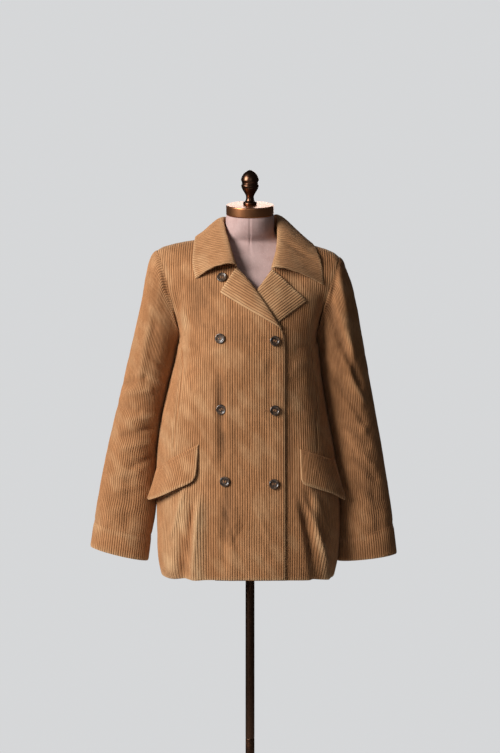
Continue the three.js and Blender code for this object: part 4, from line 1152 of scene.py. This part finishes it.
def corduroy():
    """Tan wide-wale pile: grooves darkened by painted shade, brushed streaks along the ribs, pale rubbed
    edges, painted shade where the attribute is below zero.
    """
    found = bpy.data.materials.get("corduroy_pile")
    if found:
        return found
    look = bpy.context.scene.jacket_cloth
    material = bpy.data.materials.new("corduroy_pile")
    tree, shader = nodes_of(material)
    wales = tree.nodes.new("ShaderNodeUVMap")
    wales.uv_map = "wales"
    field = place_group(tree, wale_group(), Wales=wales.outputs[0], Place=object_coords(tree))
    wear_and_shade = tree.nodes.new("ShaderNodeAttribute")
    wear_and_shade.attribute_name = "wear_and_shade"
    pile = Vector(look.pile)
    brushed = colour_mix(tree, field["Streak"], pile * 0.72, pile * 1.2)
    shaded = colour_mix(tree, math_node(tree, "MULTIPLY", field["Blotch"], 0.55), brushed,
                        pile * Vector((0.66, 0.6, 0.52)))
    rubbed = math_node(tree, "MULTIPLY", wear_and_shade.outputs["Fac"],
                       range_node(tree, field["Streak"], 0.0, 1.0, 0.5, 1.0), clamp=True)
    # Painted shade: where the attribute is below zero the pile darkens towards pile * 0.3.
    painted_shade_share = math_node(tree, "MULTIPLY", wear_and_shade.outputs["Fac"],
                      range_node(tree, field["Streak"], 0.0, 1.0, -1.0, -0.6), clamp=True)
    pile_with_painted_shade = colour_mix(tree, painted_shade_share, shaded, pile * 0.3)
    surface = colour_mix(tree, rubbed, pile_with_painted_shade, look.worn)
    # The grooves darken towards the groove colour: painted shade between the ribs, with the ground's own
    # colour.
    ribbed_with_groove_shade = colour_mix(tree, math_node(tree, "MULTIPLY", field["GrooveShade"], 0.85), surface, look.groove)
    tree.links.new(ribbed_with_groove_shade, shader.inputs["Base Color"])
    tree.links.new(range_node(tree, field["Streak"], 0, 1, 0.95, 0.82), shader.inputs["Roughness"])
    shader.inputs["Specular IOR Level"].default_value = 0.25
    shader.inputs["Sheen Weight"].default_value = 0.22
    shader.inputs["Sheen Roughness"].default_value = 0.45
    shader.inputs["Sheen Tint"].default_value = (1.0, 0.78, 0.55, 1.0)
    bump_into(tree, shader, field["Height"], 0.55, 0.0012)
    return material


def cloth_reverse():
    """Plain twill back of the cloth."""
    found = bpy.data.materials.get("cloth_reverse")
    if found:
        return found
    material = bpy.data.materials.new("cloth_reverse")
    tree, shader = nodes_of(material)
    wales = tree.nodes.new("ShaderNodeUVMap")
    wales.uv_map = "wales"
    twill = tree.nodes.new("ShaderNodeTexWave")
    twill.bands_direction = "DIAGONAL"
    twill.inputs["Scale"].default_value = 2.2
    twill.inputs["Distortion"].default_value = 0.6
    tree.links.new(wales.outputs[0], twill.inputs["Vector"])
    reverse = Vector(bpy.context.scene.jacket_cloth.reverse)
    worn = noise_node(tree, object_coords(tree), 14.0, 4.0)
    base = colour_mix(tree, twill.outputs["Fac"], reverse * 0.8, reverse * 1.15)
    tree.links.new(colour_mix(tree, math_node(tree, "MULTIPLY", worn, 0.4), base, reverse * 0.6),
                   shader.inputs["Base Color"])
    shader.inputs["Roughness"].default_value = 0.95
    bump_into(tree, shader, twill.outputs["Fac"], 0.3, 0.0004)
    return material


def thread():
    """Matt tan sewing thread, twisted."""
    found = bpy.data.materials.get("sewing_thread")
    if found:
        return found
    material = bpy.data.materials.new("sewing_thread")
    tree, shader = nodes_of(material)
    twist = noise_node(tree, object_coords(tree), 2200.0, 2.0)
    pile = Vector(bpy.context.scene.jacket_cloth.pile)
    tree.links.new(colour_mix(tree, twist, pile * 0.75, pile * 1.45), shader.inputs["Base Color"])
    shader.inputs["Roughness"].default_value = 0.7
    bump_into(tree, shader, twist, 0.3, 0.0002)
    return material


def horn():
    """Dark polished button with cloudy brown streaks."""
    found = bpy.data.materials.get("dark_horn")
    if found:
        return found
    material = bpy.data.materials.new("dark_horn")
    tree, shader = nodes_of(material)
    place = object_coords(tree)
    cloud = noise_node(tree, stretch_node(tree, place, (1, 1, 2.4)), 130.0, 4.0, 0.6)
    tree.links.new(colour_mix(tree, range_node(tree, cloud, 0.35, 0.7), (0.02, 0.014, 0.012),
                              (0.13, 0.08, 0.05)), shader.inputs["Base Color"])
    scuff = place_group(tree, scuff_group(), Place=place, Scale=900.0)["Scuff"]
    tree.links.new(range_node(tree, scuff, 0.3, 0.7, 0.2, 0.36), shader.inputs["Roughness"])
    shader.inputs["Coat Weight"].default_value = 0.4
    shader.inputs["Coat Roughness"].default_value = 0.15
    bump_into(tree, shader, scuff, 0.08, 0.0002)
    return material


def linen():
    """Plain-weave cover of the form, dusty mauve grey with slubs."""
    found = bpy.data.materials.get("form_linen")
    if found:
        return found
    material = bpy.data.materials.new("form_linen")
    tree, shader = nodes_of(material)
    place = object_coords(tree)
    threads = []
    for axis in ("X", "Z"):
        wave = tree.nodes.new("ShaderNodeTexWave")
        wave.bands_direction = axis
        wave.inputs["Scale"].default_value = 210.0
        wave.inputs["Distortion"].default_value = 1.4
        wave.inputs["Detail"].default_value = 2.0
        tree.links.new(place, wave.inputs["Vector"])
        threads.append(wave.outputs["Fac"])
    weave = math_node(tree, "MAXIMUM", *threads)
    slub = noise_node(tree, stretch_node(tree, place, (1, 1, 0.12)), 420.0, 3.0)
    stain = noise_node(tree, place, 26.0, 4.0, 0.65)
    base = Vector(bpy.context.scene.stand_finish.linen)
    woven = colour_mix(tree, weave, base * 0.72, base * 1.08)
    slubbed = colour_mix(tree, range_node(tree, slub, 0.5, 0.75, 0, 0.4), woven, base * 1.3)
    tree.links.new(colour_mix(tree, range_node(tree, stain, 0.42, 0.72, 0, 0.5), slubbed,
                              base * Vector((0.7, 0.6, 0.58))), shader.inputs["Base Color"])
    shader.inputs["Roughness"].default_value = 0.9
    shader.inputs["Sheen Weight"].default_value = 0.06
    bump_into(tree, shader, weave, 0.35, 0.0004)
    return material


def scuff_group():
    """Fine scuffs of a polished surface."""
    found = bpy.data.node_groups.get("scuffs")
    if found:
        return found
    tree, source, out = shader_group(
        "scuffs",
        (("Place", "NodeSocketVector"), ("Scale", "NodeSocketFloat")),
        (("Scuff", "NodeSocketFloat"),))
    scuff = noise_node(tree, source.outputs[0], 900.0, 3.0)
    tree.links.new(source.outputs[1], scuff.node.inputs["Scale"])
    tree.links.new(scuff, out.inputs[0])
    return tree


def patina_group():
    """Share of dark patina that is rubbed away: Rubbed is 0 for none and 1 for most."""
    found = bpy.data.node_groups.get("patina")
    if found:
        return found
    tree, source, out = shader_group(
        "patina",
        (("Place", "NodeSocketVector"), ("Rubbed", "NodeSocketFloat")),
        (("Bright", "NodeSocketFloat"),))
    worn = noise_node(tree, source.outputs[0], 55.0, 5.0, 0.65)
    low = math_node(tree, "SUBTRACT", 0.75, math_node(tree, "MULTIPLY", source.outputs[1], 0.5))
    share = math_node(tree, "DIVIDE", math_node(tree, "SUBTRACT", worn, low), 0.3, clamp=True)
    tree.links.new(range_node(tree, share, 0.0, 1.0), out.inputs[0])
    return tree


def bronzed(name, brightness, gloss):
    """Bronzed metal: brightness is how much of the dark patina is rubbed away."""
    found = bpy.data.materials.get(name)
    if found:
        return found
    finish = bpy.context.scene.stand_finish
    material = bpy.data.materials.new(name)
    tree, shader = nodes_of(material)
    place = object_coords(tree)
    fine = place_group(tree, scuff_group(), Place=stretch_node(tree, place, (1, 1, 5)), Scale=600.0)["Scuff"]
    bright = place_group(tree, patina_group(), Place=place, Rubbed=brightness)["Bright"]
    tree.links.new(colour_mix(tree, bright, finish.patina, finish.bronze), shader.inputs["Base Color"])
    tree.links.new(range_node(tree, fine, 0.3, 0.7, gloss, gloss + 0.16), shader.inputs["Roughness"])
    shader.inputs["Metallic"].default_value = 1.0
    bump_into(tree, shader, fine, 0.06, 0.0003)
    return material


# ------------------------------------------------------------------ hard pieces
def turned_mesh(name, profile, segments=72):
    """Body of revolution about Z, in metres, from (height, radius) pairs in mm."""
    body = bmesh.new()
    rings = []
    for height, radius in profile:
        if radius <= 0:
            rings.append([body.verts.new((0, 0, height * MM))])
            continue
        ring = [body.verts.new((radius * MM * math.cos(math.tau * k / segments),
                                radius * MM * math.sin(math.tau * k / segments), height * MM))
                for k in range(segments)]
        rings.append(ring)
    for low, high in zip(rings, rings[1:]):
        for k in range(segments):
            n = (k + 1) % segments
            if len(low) == 1:
                body.faces.new((low[0], high[n], high[k]))
            elif len(high) == 1:
                body.faces.new((low[k], low[n], high[0]))
            else:
                body.faces.new((low[k], low[n], high[n], high[k]))
    for ring, top in ((rings[0], False), (rings[-1], True)):
        if len(ring) > 1:
            body.faces.new(ring if top else ring[::-1])
    bmesh.ops.recalc_face_normals(body, faces=body.faces)
    mesh = bpy.data.meshes.new(name)
    body.to_mesh(mesh)
    body.free()
    return mesh


def rounded(profile, radius, steps=4):
    """Profile with its inner corners rounded by arcs of one radius."""
    points = [np.array(p, float) for p in profile]
    out = [tuple(points[0])]
    for before, corner, after in zip(points, points[1:], points[2:]):
        room = min(np.linalg.norm(corner - before), np.linalg.norm(after - corner)) / 2
        size = min(radius, room)
        a = corner + (before - corner) / np.linalg.norm(before - corner) * size
        b = corner + (after - corner) / np.linalg.norm(after - corner) * size
        for t in np.linspace(0, 1, steps + 1):
            out.append(tuple(a * (1 - t) ** 2 + corner * 2 * t * (1 - t) + b * t * t))
    out.append(tuple(points[-1]))
    return out


def place_mesh(mesh, matrix):
    mesh.transform(matrix)
    mesh.update()
    return mesh


def head_matrix(lift=0.0):
    """Place and lean of the neck's top."""
    return Matrix.Translation(Vector(CAP["top"]) * MM) @ Matrix.Rotation(NECK_LEAN, 4, "X") \
        @ Matrix.Translation((0, 0, lift * MM))


def button_matrix(name):
    x, z = BUTTONS[name]
    level = level_at(x, z)
    angle = angle_at(x, level)
    point = skin("front", angle, level, SEAM + 0.1)
    normal = Vector(body_normal("front", angle, level).ravel())
    turn = Vector((0, 0, 1)).rotation_difference(normal).to_matrix().to_4x4()
    tilt = Matrix.Rotation(math.radians(BUTTON_TURN.get(name, 0.0)), 4, "Z")
    return Matrix.Translation(Vector(point.ravel()) * MM) @ turn @ tilt


def button_mesh(name):
    """Four-hole button with a raised rim and a dished middle."""
    profile = rounded(((0, 0), (0, 8.2), (1.3, 10.2), (3.0, 10.2), (4.0, 9.2), (3.9, 7.9), (2.7, 6.4),
                       (2.5, 3), (2.5, 0)), 0.7)
    mesh = turned_mesh(name, profile, 48)
    body = bpy.data.objects.new(name, mesh)
    bpy.context.scene.collection.objects.link(body)
    drills = bmesh.new()
    for i, j in ((-1, -1), (1, -1), (-1, 1), (1, 1)):
        place = Matrix.Translation((i * 2.1 * MM, j * 2.1 * MM, 0))
        bmesh.ops.create_cone(drills, cap_ends=True, segments=14, radius1=1.0 * MM, radius2=1.0 * MM,
                              depth=12 * MM, matrix=place)
    drill_mesh = bpy.data.meshes.new(f"{name}_holes")
    drills.to_mesh(drill_mesh)
    drills.free()
    cutter = bpy.data.objects.new(f"{name}_holes", drill_mesh)
    bpy.context.scene.collection.objects.link(cutter)
    cut = body.modifiers.new("holes", "BOOLEAN")
    cut.operation = "DIFFERENCE"
    cut.object = cutter
    cut.solver = "EXACT"
    result = bpy.data.meshes.new_from_object(body.evaluated_get(bpy.context.evaluated_depsgraph_get()))
    for scrap in (body, cutter):
        old = scrap.data
        bpy.data.objects.remove(scrap)
        bpy.data.meshes.remove(old)
    result.name = name
    return result


# ------------------------------------------------------------------ stitching by geometry nodes
def stitch_tree():
    """Stitches laid end to end along a path of mesh edges."""
    found = bpy.data.node_groups.get("stitch_row")
    if found:
        return found
    tree = bpy.data.node_groups.new("stitch_row", "GeometryNodeTree")
    tree.interface.new_socket("Path", in_out="INPUT", socket_type="NodeSocketGeometry")
    for label, value in (("Pitch", 0.0032), ("Stitch Length", 0.0026), ("Thread Radius", 0.00035)):
        socket = tree.interface.new_socket(label, in_out="INPUT", socket_type="NodeSocketFloat")
        socket.default_value = value
    tree.interface.new_socket("Seed", in_out="INPUT", socket_type="NodeSocketInt").default_value = 4
    tree.interface.new_socket("Material", in_out="INPUT", socket_type="NodeSocketMaterial")
    tree.interface.new_socket("Stitches", in_out="OUTPUT", socket_type="NodeSocketGeometry")
    source = tree.nodes.new("NodeGroupInput")
    out = tree.nodes.new("NodeGroupOutput")
    add = tree.nodes.new
    link = tree.links.new
    path = add("GeometryNodeMeshToCurve")
    link(source.outputs["Path"], path.inputs[0])
    spaced = add("GeometryNodeResampleCurve")
    spaced.mode = "LENGTH"
    link(path.outputs[0], spaced.inputs["Curve"])
    link(source.outputs["Pitch"], spaced.inputs["Length"])
    bead = add("GeometryNodeMeshUVSphere")
    bead.inputs["Segments"].default_value = 6
    bead.inputs["Rings"].default_value = 5
    bead.inputs["Radius"].default_value = 0.5
    tangent = add("GeometryNodeInputTangent")
    aim = add("FunctionNodeAlignRotationToVector")
    aim.axis = "Z"
    link(tangent.outputs[0], aim.inputs["Vector"])
    wide = add("ShaderNodeMath")
    wide.operation = "MULTIPLY"
    wide.inputs[1].default_value = 2.0
    link(source.outputs["Thread Radius"], wide.inputs[0])
    uneven = add("FunctionNodeRandomValue")
    uneven.inputs["Min"].default_value = 0.88
    uneven.inputs["Max"].default_value = 1.1
    link(source.outputs["Seed"], uneven.inputs["Seed"])
    long = add("ShaderNodeMath")
    long.operation = "MULTIPLY"
    link(source.outputs["Stitch Length"], long.inputs[0])
    link(uneven.outputs["Value"], long.inputs[1])
    size = add("ShaderNodeCombineXYZ")
    link(wide.outputs[0], size.inputs["X"])
    link(wide.outputs[0], size.inputs["Y"])
    link(long.outputs[0], size.inputs["Z"])
    laid = add("GeometryNodeInstanceOnPoints")
    link(spaced.outputs[0], laid.inputs["Points"])
    link(bead.outputs["Mesh"], laid.inputs["Instance"])
    link(aim.outputs[0], laid.inputs["Rotation"])
    link(size.outputs[0], laid.inputs["Scale"])
    real = add("GeometryNodeRealizeInstances")
    link(laid.outputs[0], real.inputs[0])
    dressed = add("GeometryNodeSetMaterial")
    link(real.outputs[0], dressed.inputs["Geometry"])
    link(source.outputs["Material"], dressed.inputs["Material"])
    link(dressed.outputs[0], out.inputs[0])
    return tree


def stitched(name, paths, pitch, length, radius):
    """One mesh of stitches along paths of points in mm."""
    lines = bpy.data.meshes.new(f"{name}_paths")
    points, edges = [], []
    for path in paths:
        start = len(points)
        points += [tuple(np.asarray(p, float) * MM) for p in path]
        edges += [(start + k, start + k + 1) for k in range(len(path) - 1)]
    lines.from_pydata(points, edges, [])
    holder = bpy.data.objects.new(f"{name}_paths", lines)
    bpy.context.scene.collection.objects.link(holder)
    tree = stitch_tree()
    row = holder.modifiers.new("stitches", "NODES")
    row.node_group = tree
    wanted = {
        "Pitch": pitch, "Stitch Length": length, "Thread Radius": radius, "Seed": 4, "Material": thread(),
    }
    for item in tree.interface.items_tree:
        if item.in_out == "INPUT" and item.name in wanted:
            row[item.identifier] = wanted[item.name]
    mesh = bpy.data.meshes.new_from_object(holder.evaluated_get(bpy.context.evaluated_depsgraph_get()))
    mesh.name = name
    bpy.data.objects.remove(holder)
    bpy.data.meshes.remove(lines)
    return finish_piece(name, mesh, (thread(),), ())


def cuff_path(side):
    turn = np.linspace(0, 1, 160)
    run = 1 - CUFF_STITCH / 615.0
    points = sleeve_surface(side, np.full(160, run), turn)
    before = sleeve_surface(side, np.full(160, run - 0.01), turn)
    around = np.gradient(points, axis=0)
    normals = unit(np.cross(points - before, around)) * (1 if side == "right" else -1)
    return points + normals * 0.15


def flap_paths(side):
    run = np.linspace(0.03, 0.97, 60)
    for line in (6.0, 11.0):
        yield flap_point(side, run, np.full(60, line / 70.0), -0.1)


def buttonhole_paths():
    """Worked buttonholes in the right front, running from each button towards the centre."""
    for name in ("button_left_1", "button_left_2", "button_left_3"):
        x, z = BUTTONS[name]
        for lift, bow in ((1.3, 1), (-1.3, -1)):
            xs = np.linspace(x - 19, x + 2, 40)
            zs = z + lift + bow * 0.5 * np.exp(-((xs - x + 17) / 2.5) ** 2)
            yield on_front(xs, zs, 0.55)
        zs = np.linspace(z - 1.6, z + 1.6, 12)
        yield on_front(np.full(12, x - 19.6), zs, 0.55)


def button_thread_paths(name):
    place = button_matrix(name)
    for i in (-1, 1):
        for shift in (-0.35, 0.35):
            line = [place @ Vector(((2.1 * i + shift) * MM, y * MM, h * MM))
                    for y, h in ((-2.1, 1.2), (-1.9, 2.7), (-0.9, 3.0), (0.9, 3.0), (1.9, 2.7), (2.1, 1.2))]
            yield [tuple(p / MM) for p in line]


# ------------------------------------------------------------------ width, length and area of each cloth piece
PATTERN = {
    "jacket_front_right": (0.354, 0.727, 0.202), "jacket_front_left": (0.347, 0.722, 0.190),
    "jacket_back": (0.523, 0.692, 0.317), "jacket_sleeve_right": (0.450, 0.625, 0.184),
    "jacket_sleeve_left": (0.455, 0.620, 0.180), "jacket_collar": (0.575, 0.135, 0.0543),
    "jacket_lapel_right": (0.069, 0.152, 0.0057), "jacket_lapel_left": (0.100, 0.081, 0.0071),
    "jacket_flap_right": (0.169, 0.074, 0.0093), "jacket_flap_left": (0.142, 0.074, 0.0088),
}


def declare_sheet(piece):
    width, length, area = PATTERN[piece.name]


# ------------------------------------------------------------------ operators
class JACKET_OT_fronts(bpy.types.Operator):
    """Build the two overlapping fronts"""
    bl_idname = "jacket.fronts"
    bl_label = "Fronts"

    def execute(self, context):
        under = front_panel("left")
        over = front_panel("right")
        declare_sheet(under)
        declare_sheet(over)
        return {"FINISHED"}


class JACKET_OT_back(bpy.types.Operator):
    """Build the back"""
    bl_idname = "jacket.back"
    bl_label = "Back"

    def execute(self, context):
        declare_sheet(back_panel())
        return {"FINISHED"}


class JACKET_OT_sleeves(bpy.types.Operator):
    """Build both sleeves"""
    bl_idname = "jacket.sleeves"
    bl_label = "Sleeves"

    def execute(self, context):
        for side in ("right", "left"):
            declare_sheet(sleeve(side))
        return {"FINISHED"}


class JACKET_OT_collar(bpy.types.Operator):
    """Build the turned-down collar and the lapels"""
    bl_idname = "jacket.collar"
    bl_label = "Collar and lapels"

    def execute(self, context):
        declare_sheet(collar())
        for side in ("right", "left"):
            declare_sheet(lapel(side))
        return {"FINISHED"}


class JACKET_OT_flaps(bpy.types.Operator):
    """Build the pocket flaps"""
    bl_idname = "jacket.flaps"
    bl_label = "Pocket flaps"

    def execute(self, context):
        for side in ("right", "left"):
            declare_sheet(pocket_flap(side))
        return {"FINISHED"}


class JACKET_OT_buttons(bpy.types.Operator):
    """Build the buttons"""
    bl_idname = "jacket.buttons"
    bl_label = "Buttons"

    def execute(self, context):
        pattern = button_mesh("button_pattern")
        for name in BUTTONS:
            mesh = place_mesh(pattern.copy(), button_matrix(name))
            mesh.name = f"horn_{name}"
            finish_piece(f"horn_{name}", mesh, (horn(),), (name,))
            mesh.set_sharp_from_angle(angle=math.radians(40))
        bpy.data.meshes.remove(pattern)
        return {"FINISHED"}


class JACKET_OT_stitching(bpy.types.Operator):
    """Lay the visible stitching"""
    bl_idname = "jacket.stitching"
    bl_label = "Stitching"

    def execute(self, context):
        step = context.scene.jacket_cloth.stitch
        for side in ("right", "left"):
            stitched(f"stitches_cuff_{side}", [cuff_path(side)], step, step * 0.8, 0.00034)
            stitched(f"stitches_flap_{side}", list(flap_paths(side)), step, step * 0.8, 0.00032)
        stitched("stitches_buttonholes", list(buttonhole_paths()), 0.0006, 0.0011, 0.00036)
        ties = [path for name in BUTTONS for path in button_thread_paths(name)]
        stitched("button_threads", ties, 0.0005, 0.0012, 0.0003)
        return {"FINISHED"}


class JACKET_OT_form(bpy.types.Operator):
    """Build the form's linen cover with its centre seams"""
    bl_idname = "jacket.form"
    bl_label = "Dress form"

    def execute(self, context):
        heights = np.concatenate((np.linspace(800, 1400, 76)[:-1], np.linspace(1400, 1483.8, 44)))
        phi = np.linspace(0, math.tau, 145)[:-1]
        r = {k: self.eased(v, k == "z")[:, None] for k, v in read(FORM, heights).items()}
        x = np.sign(np.cos(phi)) * r["half"] * np.abs(np.cos(phi)) ** (2 / r["square"])
        deep = np.where(np.sin(phi) < 0, r["front"], r["back"])
        y = np.sign(np.sin(phi)) * deep * np.abs(np.sin(phi)) ** (2 / r["square"])
        seam = np.exp(-((x / 1.6) ** 2)) * np.ones_like(y)
        ridge = np.exp(-(((np.abs(x) - 3.4) / 1.8) ** 2))
        y = y * (1 - (0.9 * seam - 0.35 * ridge) / np.maximum(np.abs(y), 20))
        z = r["z"] + y * np.tan(np.radians(r["lean"]))
        points = np.stack((x, y + r["y"], z), axis=-1) * MM
        count = points.shape[1]
        body = bmesh.new()
        rings = [[body.verts.new(p) for p in ring] for ring in points]
        for low, high in zip(rings, rings[1:]):
            for k in range(count):
                n = (k + 1) % count
                body.faces.new((low[k], low[n], high[n], high[k]))
        body.faces.new(rings[0][::-1])
        body.faces.new(rings[-1])
        bmesh.ops.recalc_face_normals(body, faces=body.faces)
        mesh = bpy.data.meshes.new("form_cover")
        body.to_mesh(mesh)
        body.free()
        finish_piece("form_cover", mesh, (linen(),), ("form_torso",))
        mesh.set_sharp_from_angle(angle=math.radians(50))
        return {"FINISHED"}

    def eased(self, column, is_height):
        """A column of the form's table without kinks at its rows."""
        if is_height:
            return column
        padded = np.pad(column, 4, mode="edge")
        return np.convolve(padded, np.array((1, 2, 3, 4, 5, 4, 3, 2, 1)) / 25, mode="valid")


class JACKET_OT_stand(bpy.types.Operator):
    """Build the neck cap, finial, pole, socket and base"""
    bl_idname = "jacket.stand"
    bl_label = "Stand"

    def execute(self, context):
        bright, dark = bronzed("bronze_rubbed", 1.3, 0.3), bronzed("bronze_dark", 0.3, 0.22)
        radius, thick = CAP["radius"], CAP["thick"]
        cap = rounded(((-thick, 0), (-thick, radius - 0.8), (-thick + 1.4, radius), (-2, radius),
                       (-0.6, radius - 0.4), (0, radius - 1.6), (0, 0)), 0.9)
        self.turned("cap", cap, bright, "neck_cap", head_matrix(), 128)
        finial = self.swelled(FINIAL)
        self.turned("finial_acorn", finial, dark, "finial", head_matrix(SEAM), 64)
        for node, material in (("pole_upper", dark), ("pole_lower", bronzed("bronze_pole", 0.55, 0.24))):
            low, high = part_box(node)
            r = (high[0] - low[0]) / 2 / MM
            bottom, top = low[2] / MM, high[2] / MM
            joint_low = 0.8 if node == "pole_upper" else 0.2
            joint_high = 0.2 if node == "pole_upper" else 0.8
            profile = rounded(((bottom, 0), (bottom, r - joint_low), (bottom + joint_low, r),
                               (top - joint_high, r), (top, r - joint_high), (top, 0)), 0.5)
            self.turned(f"tube_{node}", profile, material, node, Matrix.Identity(4), 48)
        low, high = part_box("pole_socket")
        bottom, top = low[2] / MM, high[2] / MM
        socket = rounded(((bottom, 0), (bottom, 13.4), (bottom + 1, 14), (top - 6.5, 15), (top - 4.7, 25.2),
                          (top - 0.8, 26), (top, 25.4), (top, 0)), 0.8)
        self.turned("socket", socket, dark, "pole_socket", Matrix.Identity(4), 64)
        low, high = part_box("base")
        r, hub = high[0] / MM, high[2] / MM
        base = rounded(((0, 0), (0, r - 2), (2, r), (9, r), (12, r - 6), (15, r * 0.55), (19, 30), (27, 22),
                        (hub - 6, 16.2), (hub, 14.2), (hub, 0)), 2.0)
        self.turned("cast_base", base, dark, "base", Matrix.Identity(4), 128)
        return {"FINISHED"}

    def swelled(self, profile):
        """Smooth curve through the turning's heights and radii."""
        heights = np.array([p[0] for p in profile], float)
        radii = np.array([p[1] for p in profile], float)
        steps = np.linspace(0, len(heights) - 1, 5 * (len(heights) - 1) + 1)
        index = np.arange(len(heights), dtype=float)
        tab = {"index": index, "height": heights, "radius": radii}
        curve = read(tab, steps)
        pairs = [(h, max(r, 0.0)) for h, r in zip(curve["height"], curve["radius"])]
        return [(0, 0)] + pairs[:-1] + [(heights[-1], 0)]

    def turned(self, name, profile, material, node, matrix, segments):
        mesh = place_mesh(turned_mesh(name, profile, segments), matrix)
        finish_piece(name, mesh, (material,), (node,))
        mesh.set_sharp_from_angle(angle=math.radians(48))


class JACKET_OT_studio(bpy.types.Operator):
    """Set the floor, the lights and the camera"""
    bl_idname = "jacket.studio"
    bl_label = "Studio"

    def execute(self, context):
        look = context.scene.studio_look
        disc = bmesh.new()
        bmesh.ops.create_circle(disc, cap_ends=True, segments=96, radius=1.15)
        mesh = bpy.data.meshes.new("floor")
        disc.to_mesh(mesh)
        disc.free()
        floor = bpy.data.objects.new("floor", mesh)
        context.scene.collection.objects.link(floor)
        material = bpy.data.materials.new("pale_floor")
        tree, shader = nodes_of(material)
        grain = noise_node(tree, object_coords(tree), 40.0, 4.0)
        base = Vector(look.floor)
        tree.links.new(colour_mix(tree, grain, base * 0.97, base * 1.02), shader.inputs["Base Color"])
        shader.inputs["Roughness"].default_value = 0.8
        mesh.materials.append(material)
        self.light("key", (-2.6, -2.05, 2.4), (-0.1, 0, 1.2), 1.9, look.key, (1.0, 0.985, 0.965))
        self.light("fill", (0.2, -3.3, 1.7), (0, 0, 1.1), 1.8, look.fill, (1.0, 0.99, 0.97))
        self.light("back", (0.3, 3.0, 2.4), (0, 0, 1.1), 2.4, 10 * look.fill, (1.0, 1.0, 1.0))
        self.world(context)
        camera = bpy.data.objects.new("camera", bpy.data.cameras.new("camera"))
        context.scene.collection.objects.link(camera)
        camera.location = (0, -3.0, 1.24)
        camera.rotation_euler = (RIGHT_ANGLE - math.atan2(86, 3000), 0, 0)
        camera.data.sensor_fit = "VERTICAL"
        camera.data.sensor_height = 36.0
        camera.data.lens = 69.96
        context.scene.camera = camera
        context.scene.view_settings.view_transform = "Standard"
        return {"FINISHED"}

    def light(self, name, place, target, size, power, colour):
        lamp = bpy.data.lights.new(name, "AREA")
        lamp.shape = "DISK"
        lamp.size = size
        lamp.energy = power
        lamp.color = colour
        holder = bpy.data.objects.new(name, lamp)
        bpy.context.scene.collection.objects.link(holder)
        holder.location = place
        holder.rotation_euler = (Vector(target) - Vector(place)).to_track_quat("-Z", "Y").to_euler()

    def world(self, context):
        """Pale surround: bright where it is seen, weaker where it lights the object."""
        world = bpy.data.worlds.new("studio")
        context.scene.world = world
        world.use_nodes = True
        tree = world.node_tree
        tree.nodes.clear()
        seen = tree.nodes.new("ShaderNodeBackground")
        seen.inputs["Color"].default_value = (0.672, 0.68, 0.69, 1)
        lighting = tree.nodes.new("ShaderNodeBackground")
        lighting.inputs["Color"].default_value = (0.95, 0.97, 1.0, 1)
        lighting.inputs["Strength"].default_value = 0.045
        rays = tree.nodes.new("ShaderNodeLightPath")
        choice = tree.nodes.new("ShaderNodeMixShader")
        out = tree.nodes.new("ShaderNodeOutputWorld")
        tree.links.new(rays.outputs["Is Camera Ray"], choice.inputs[0])
        tree.links.new(lighting.outputs[0], choice.inputs[1])
        tree.links.new(seen.outputs[0], choice.inputs[2])
        tree.links.new(choice.outputs[0], out.inputs["Surface"])


class JACKET_PT_panel(bpy.types.Panel):
    """Sizes, colours and the pieces to build"""
    bl_idname = "JACKET_PT_panel"
    bl_label = "Corduroy jacket"
    bl_space_type = "VIEW_3D"
    bl_region_type = "UI"
    bl_category = "Jacket"

    def draw(self, context):
        scene = context.scene
        for group in (scene.jacket_cloth, scene.stand_finish, scene.studio_look):
            for name in group.__annotations__:
                self.layout.prop(group, name)
        for operator in OPERATORS:
            self.layout.operator(operator.bl_idname)


GROUPS = (JacketCloth, StandFinish, StudioLook)
OPERATORS = (JACKET_OT_studio, JACKET_OT_fronts, JACKET_OT_back, JACKET_OT_sleeves, JACKET_OT_collar,
             JACKET_OT_flaps, JACKET_OT_buttons, JACKET_OT_stitching, JACKET_OT_form, JACKET_OT_stand)


def register():
    for kind in (*GROUPS, *OPERATORS, JACKET_PT_panel):
        bpy.utils.register_class(kind)
    bpy.types.Scene.jacket_cloth = bpy.props.PointerProperty(type=JacketCloth)
    bpy.types.Scene.stand_finish = bpy.props.PointerProperty(type=StandFinish)
    bpy.types.Scene.studio_look = bpy.props.PointerProperty(type=StudioLook)


def unregister():
    del bpy.types.Scene.jacket_cloth
    del bpy.types.Scene.stand_finish
    del bpy.types.Scene.studio_look
    for kind in (JACKET_PT_panel, *reversed(OPERATORS), *reversed(GROUPS)):
        bpy.utils.unregister_class(kind)


def main():
    register()
    for operator in OPERATORS:
        group, name = operator.bl_idname.split(".")
        getattr(getattr(bpy.ops, group), name)()


if __name__ == "__main__":
    main()
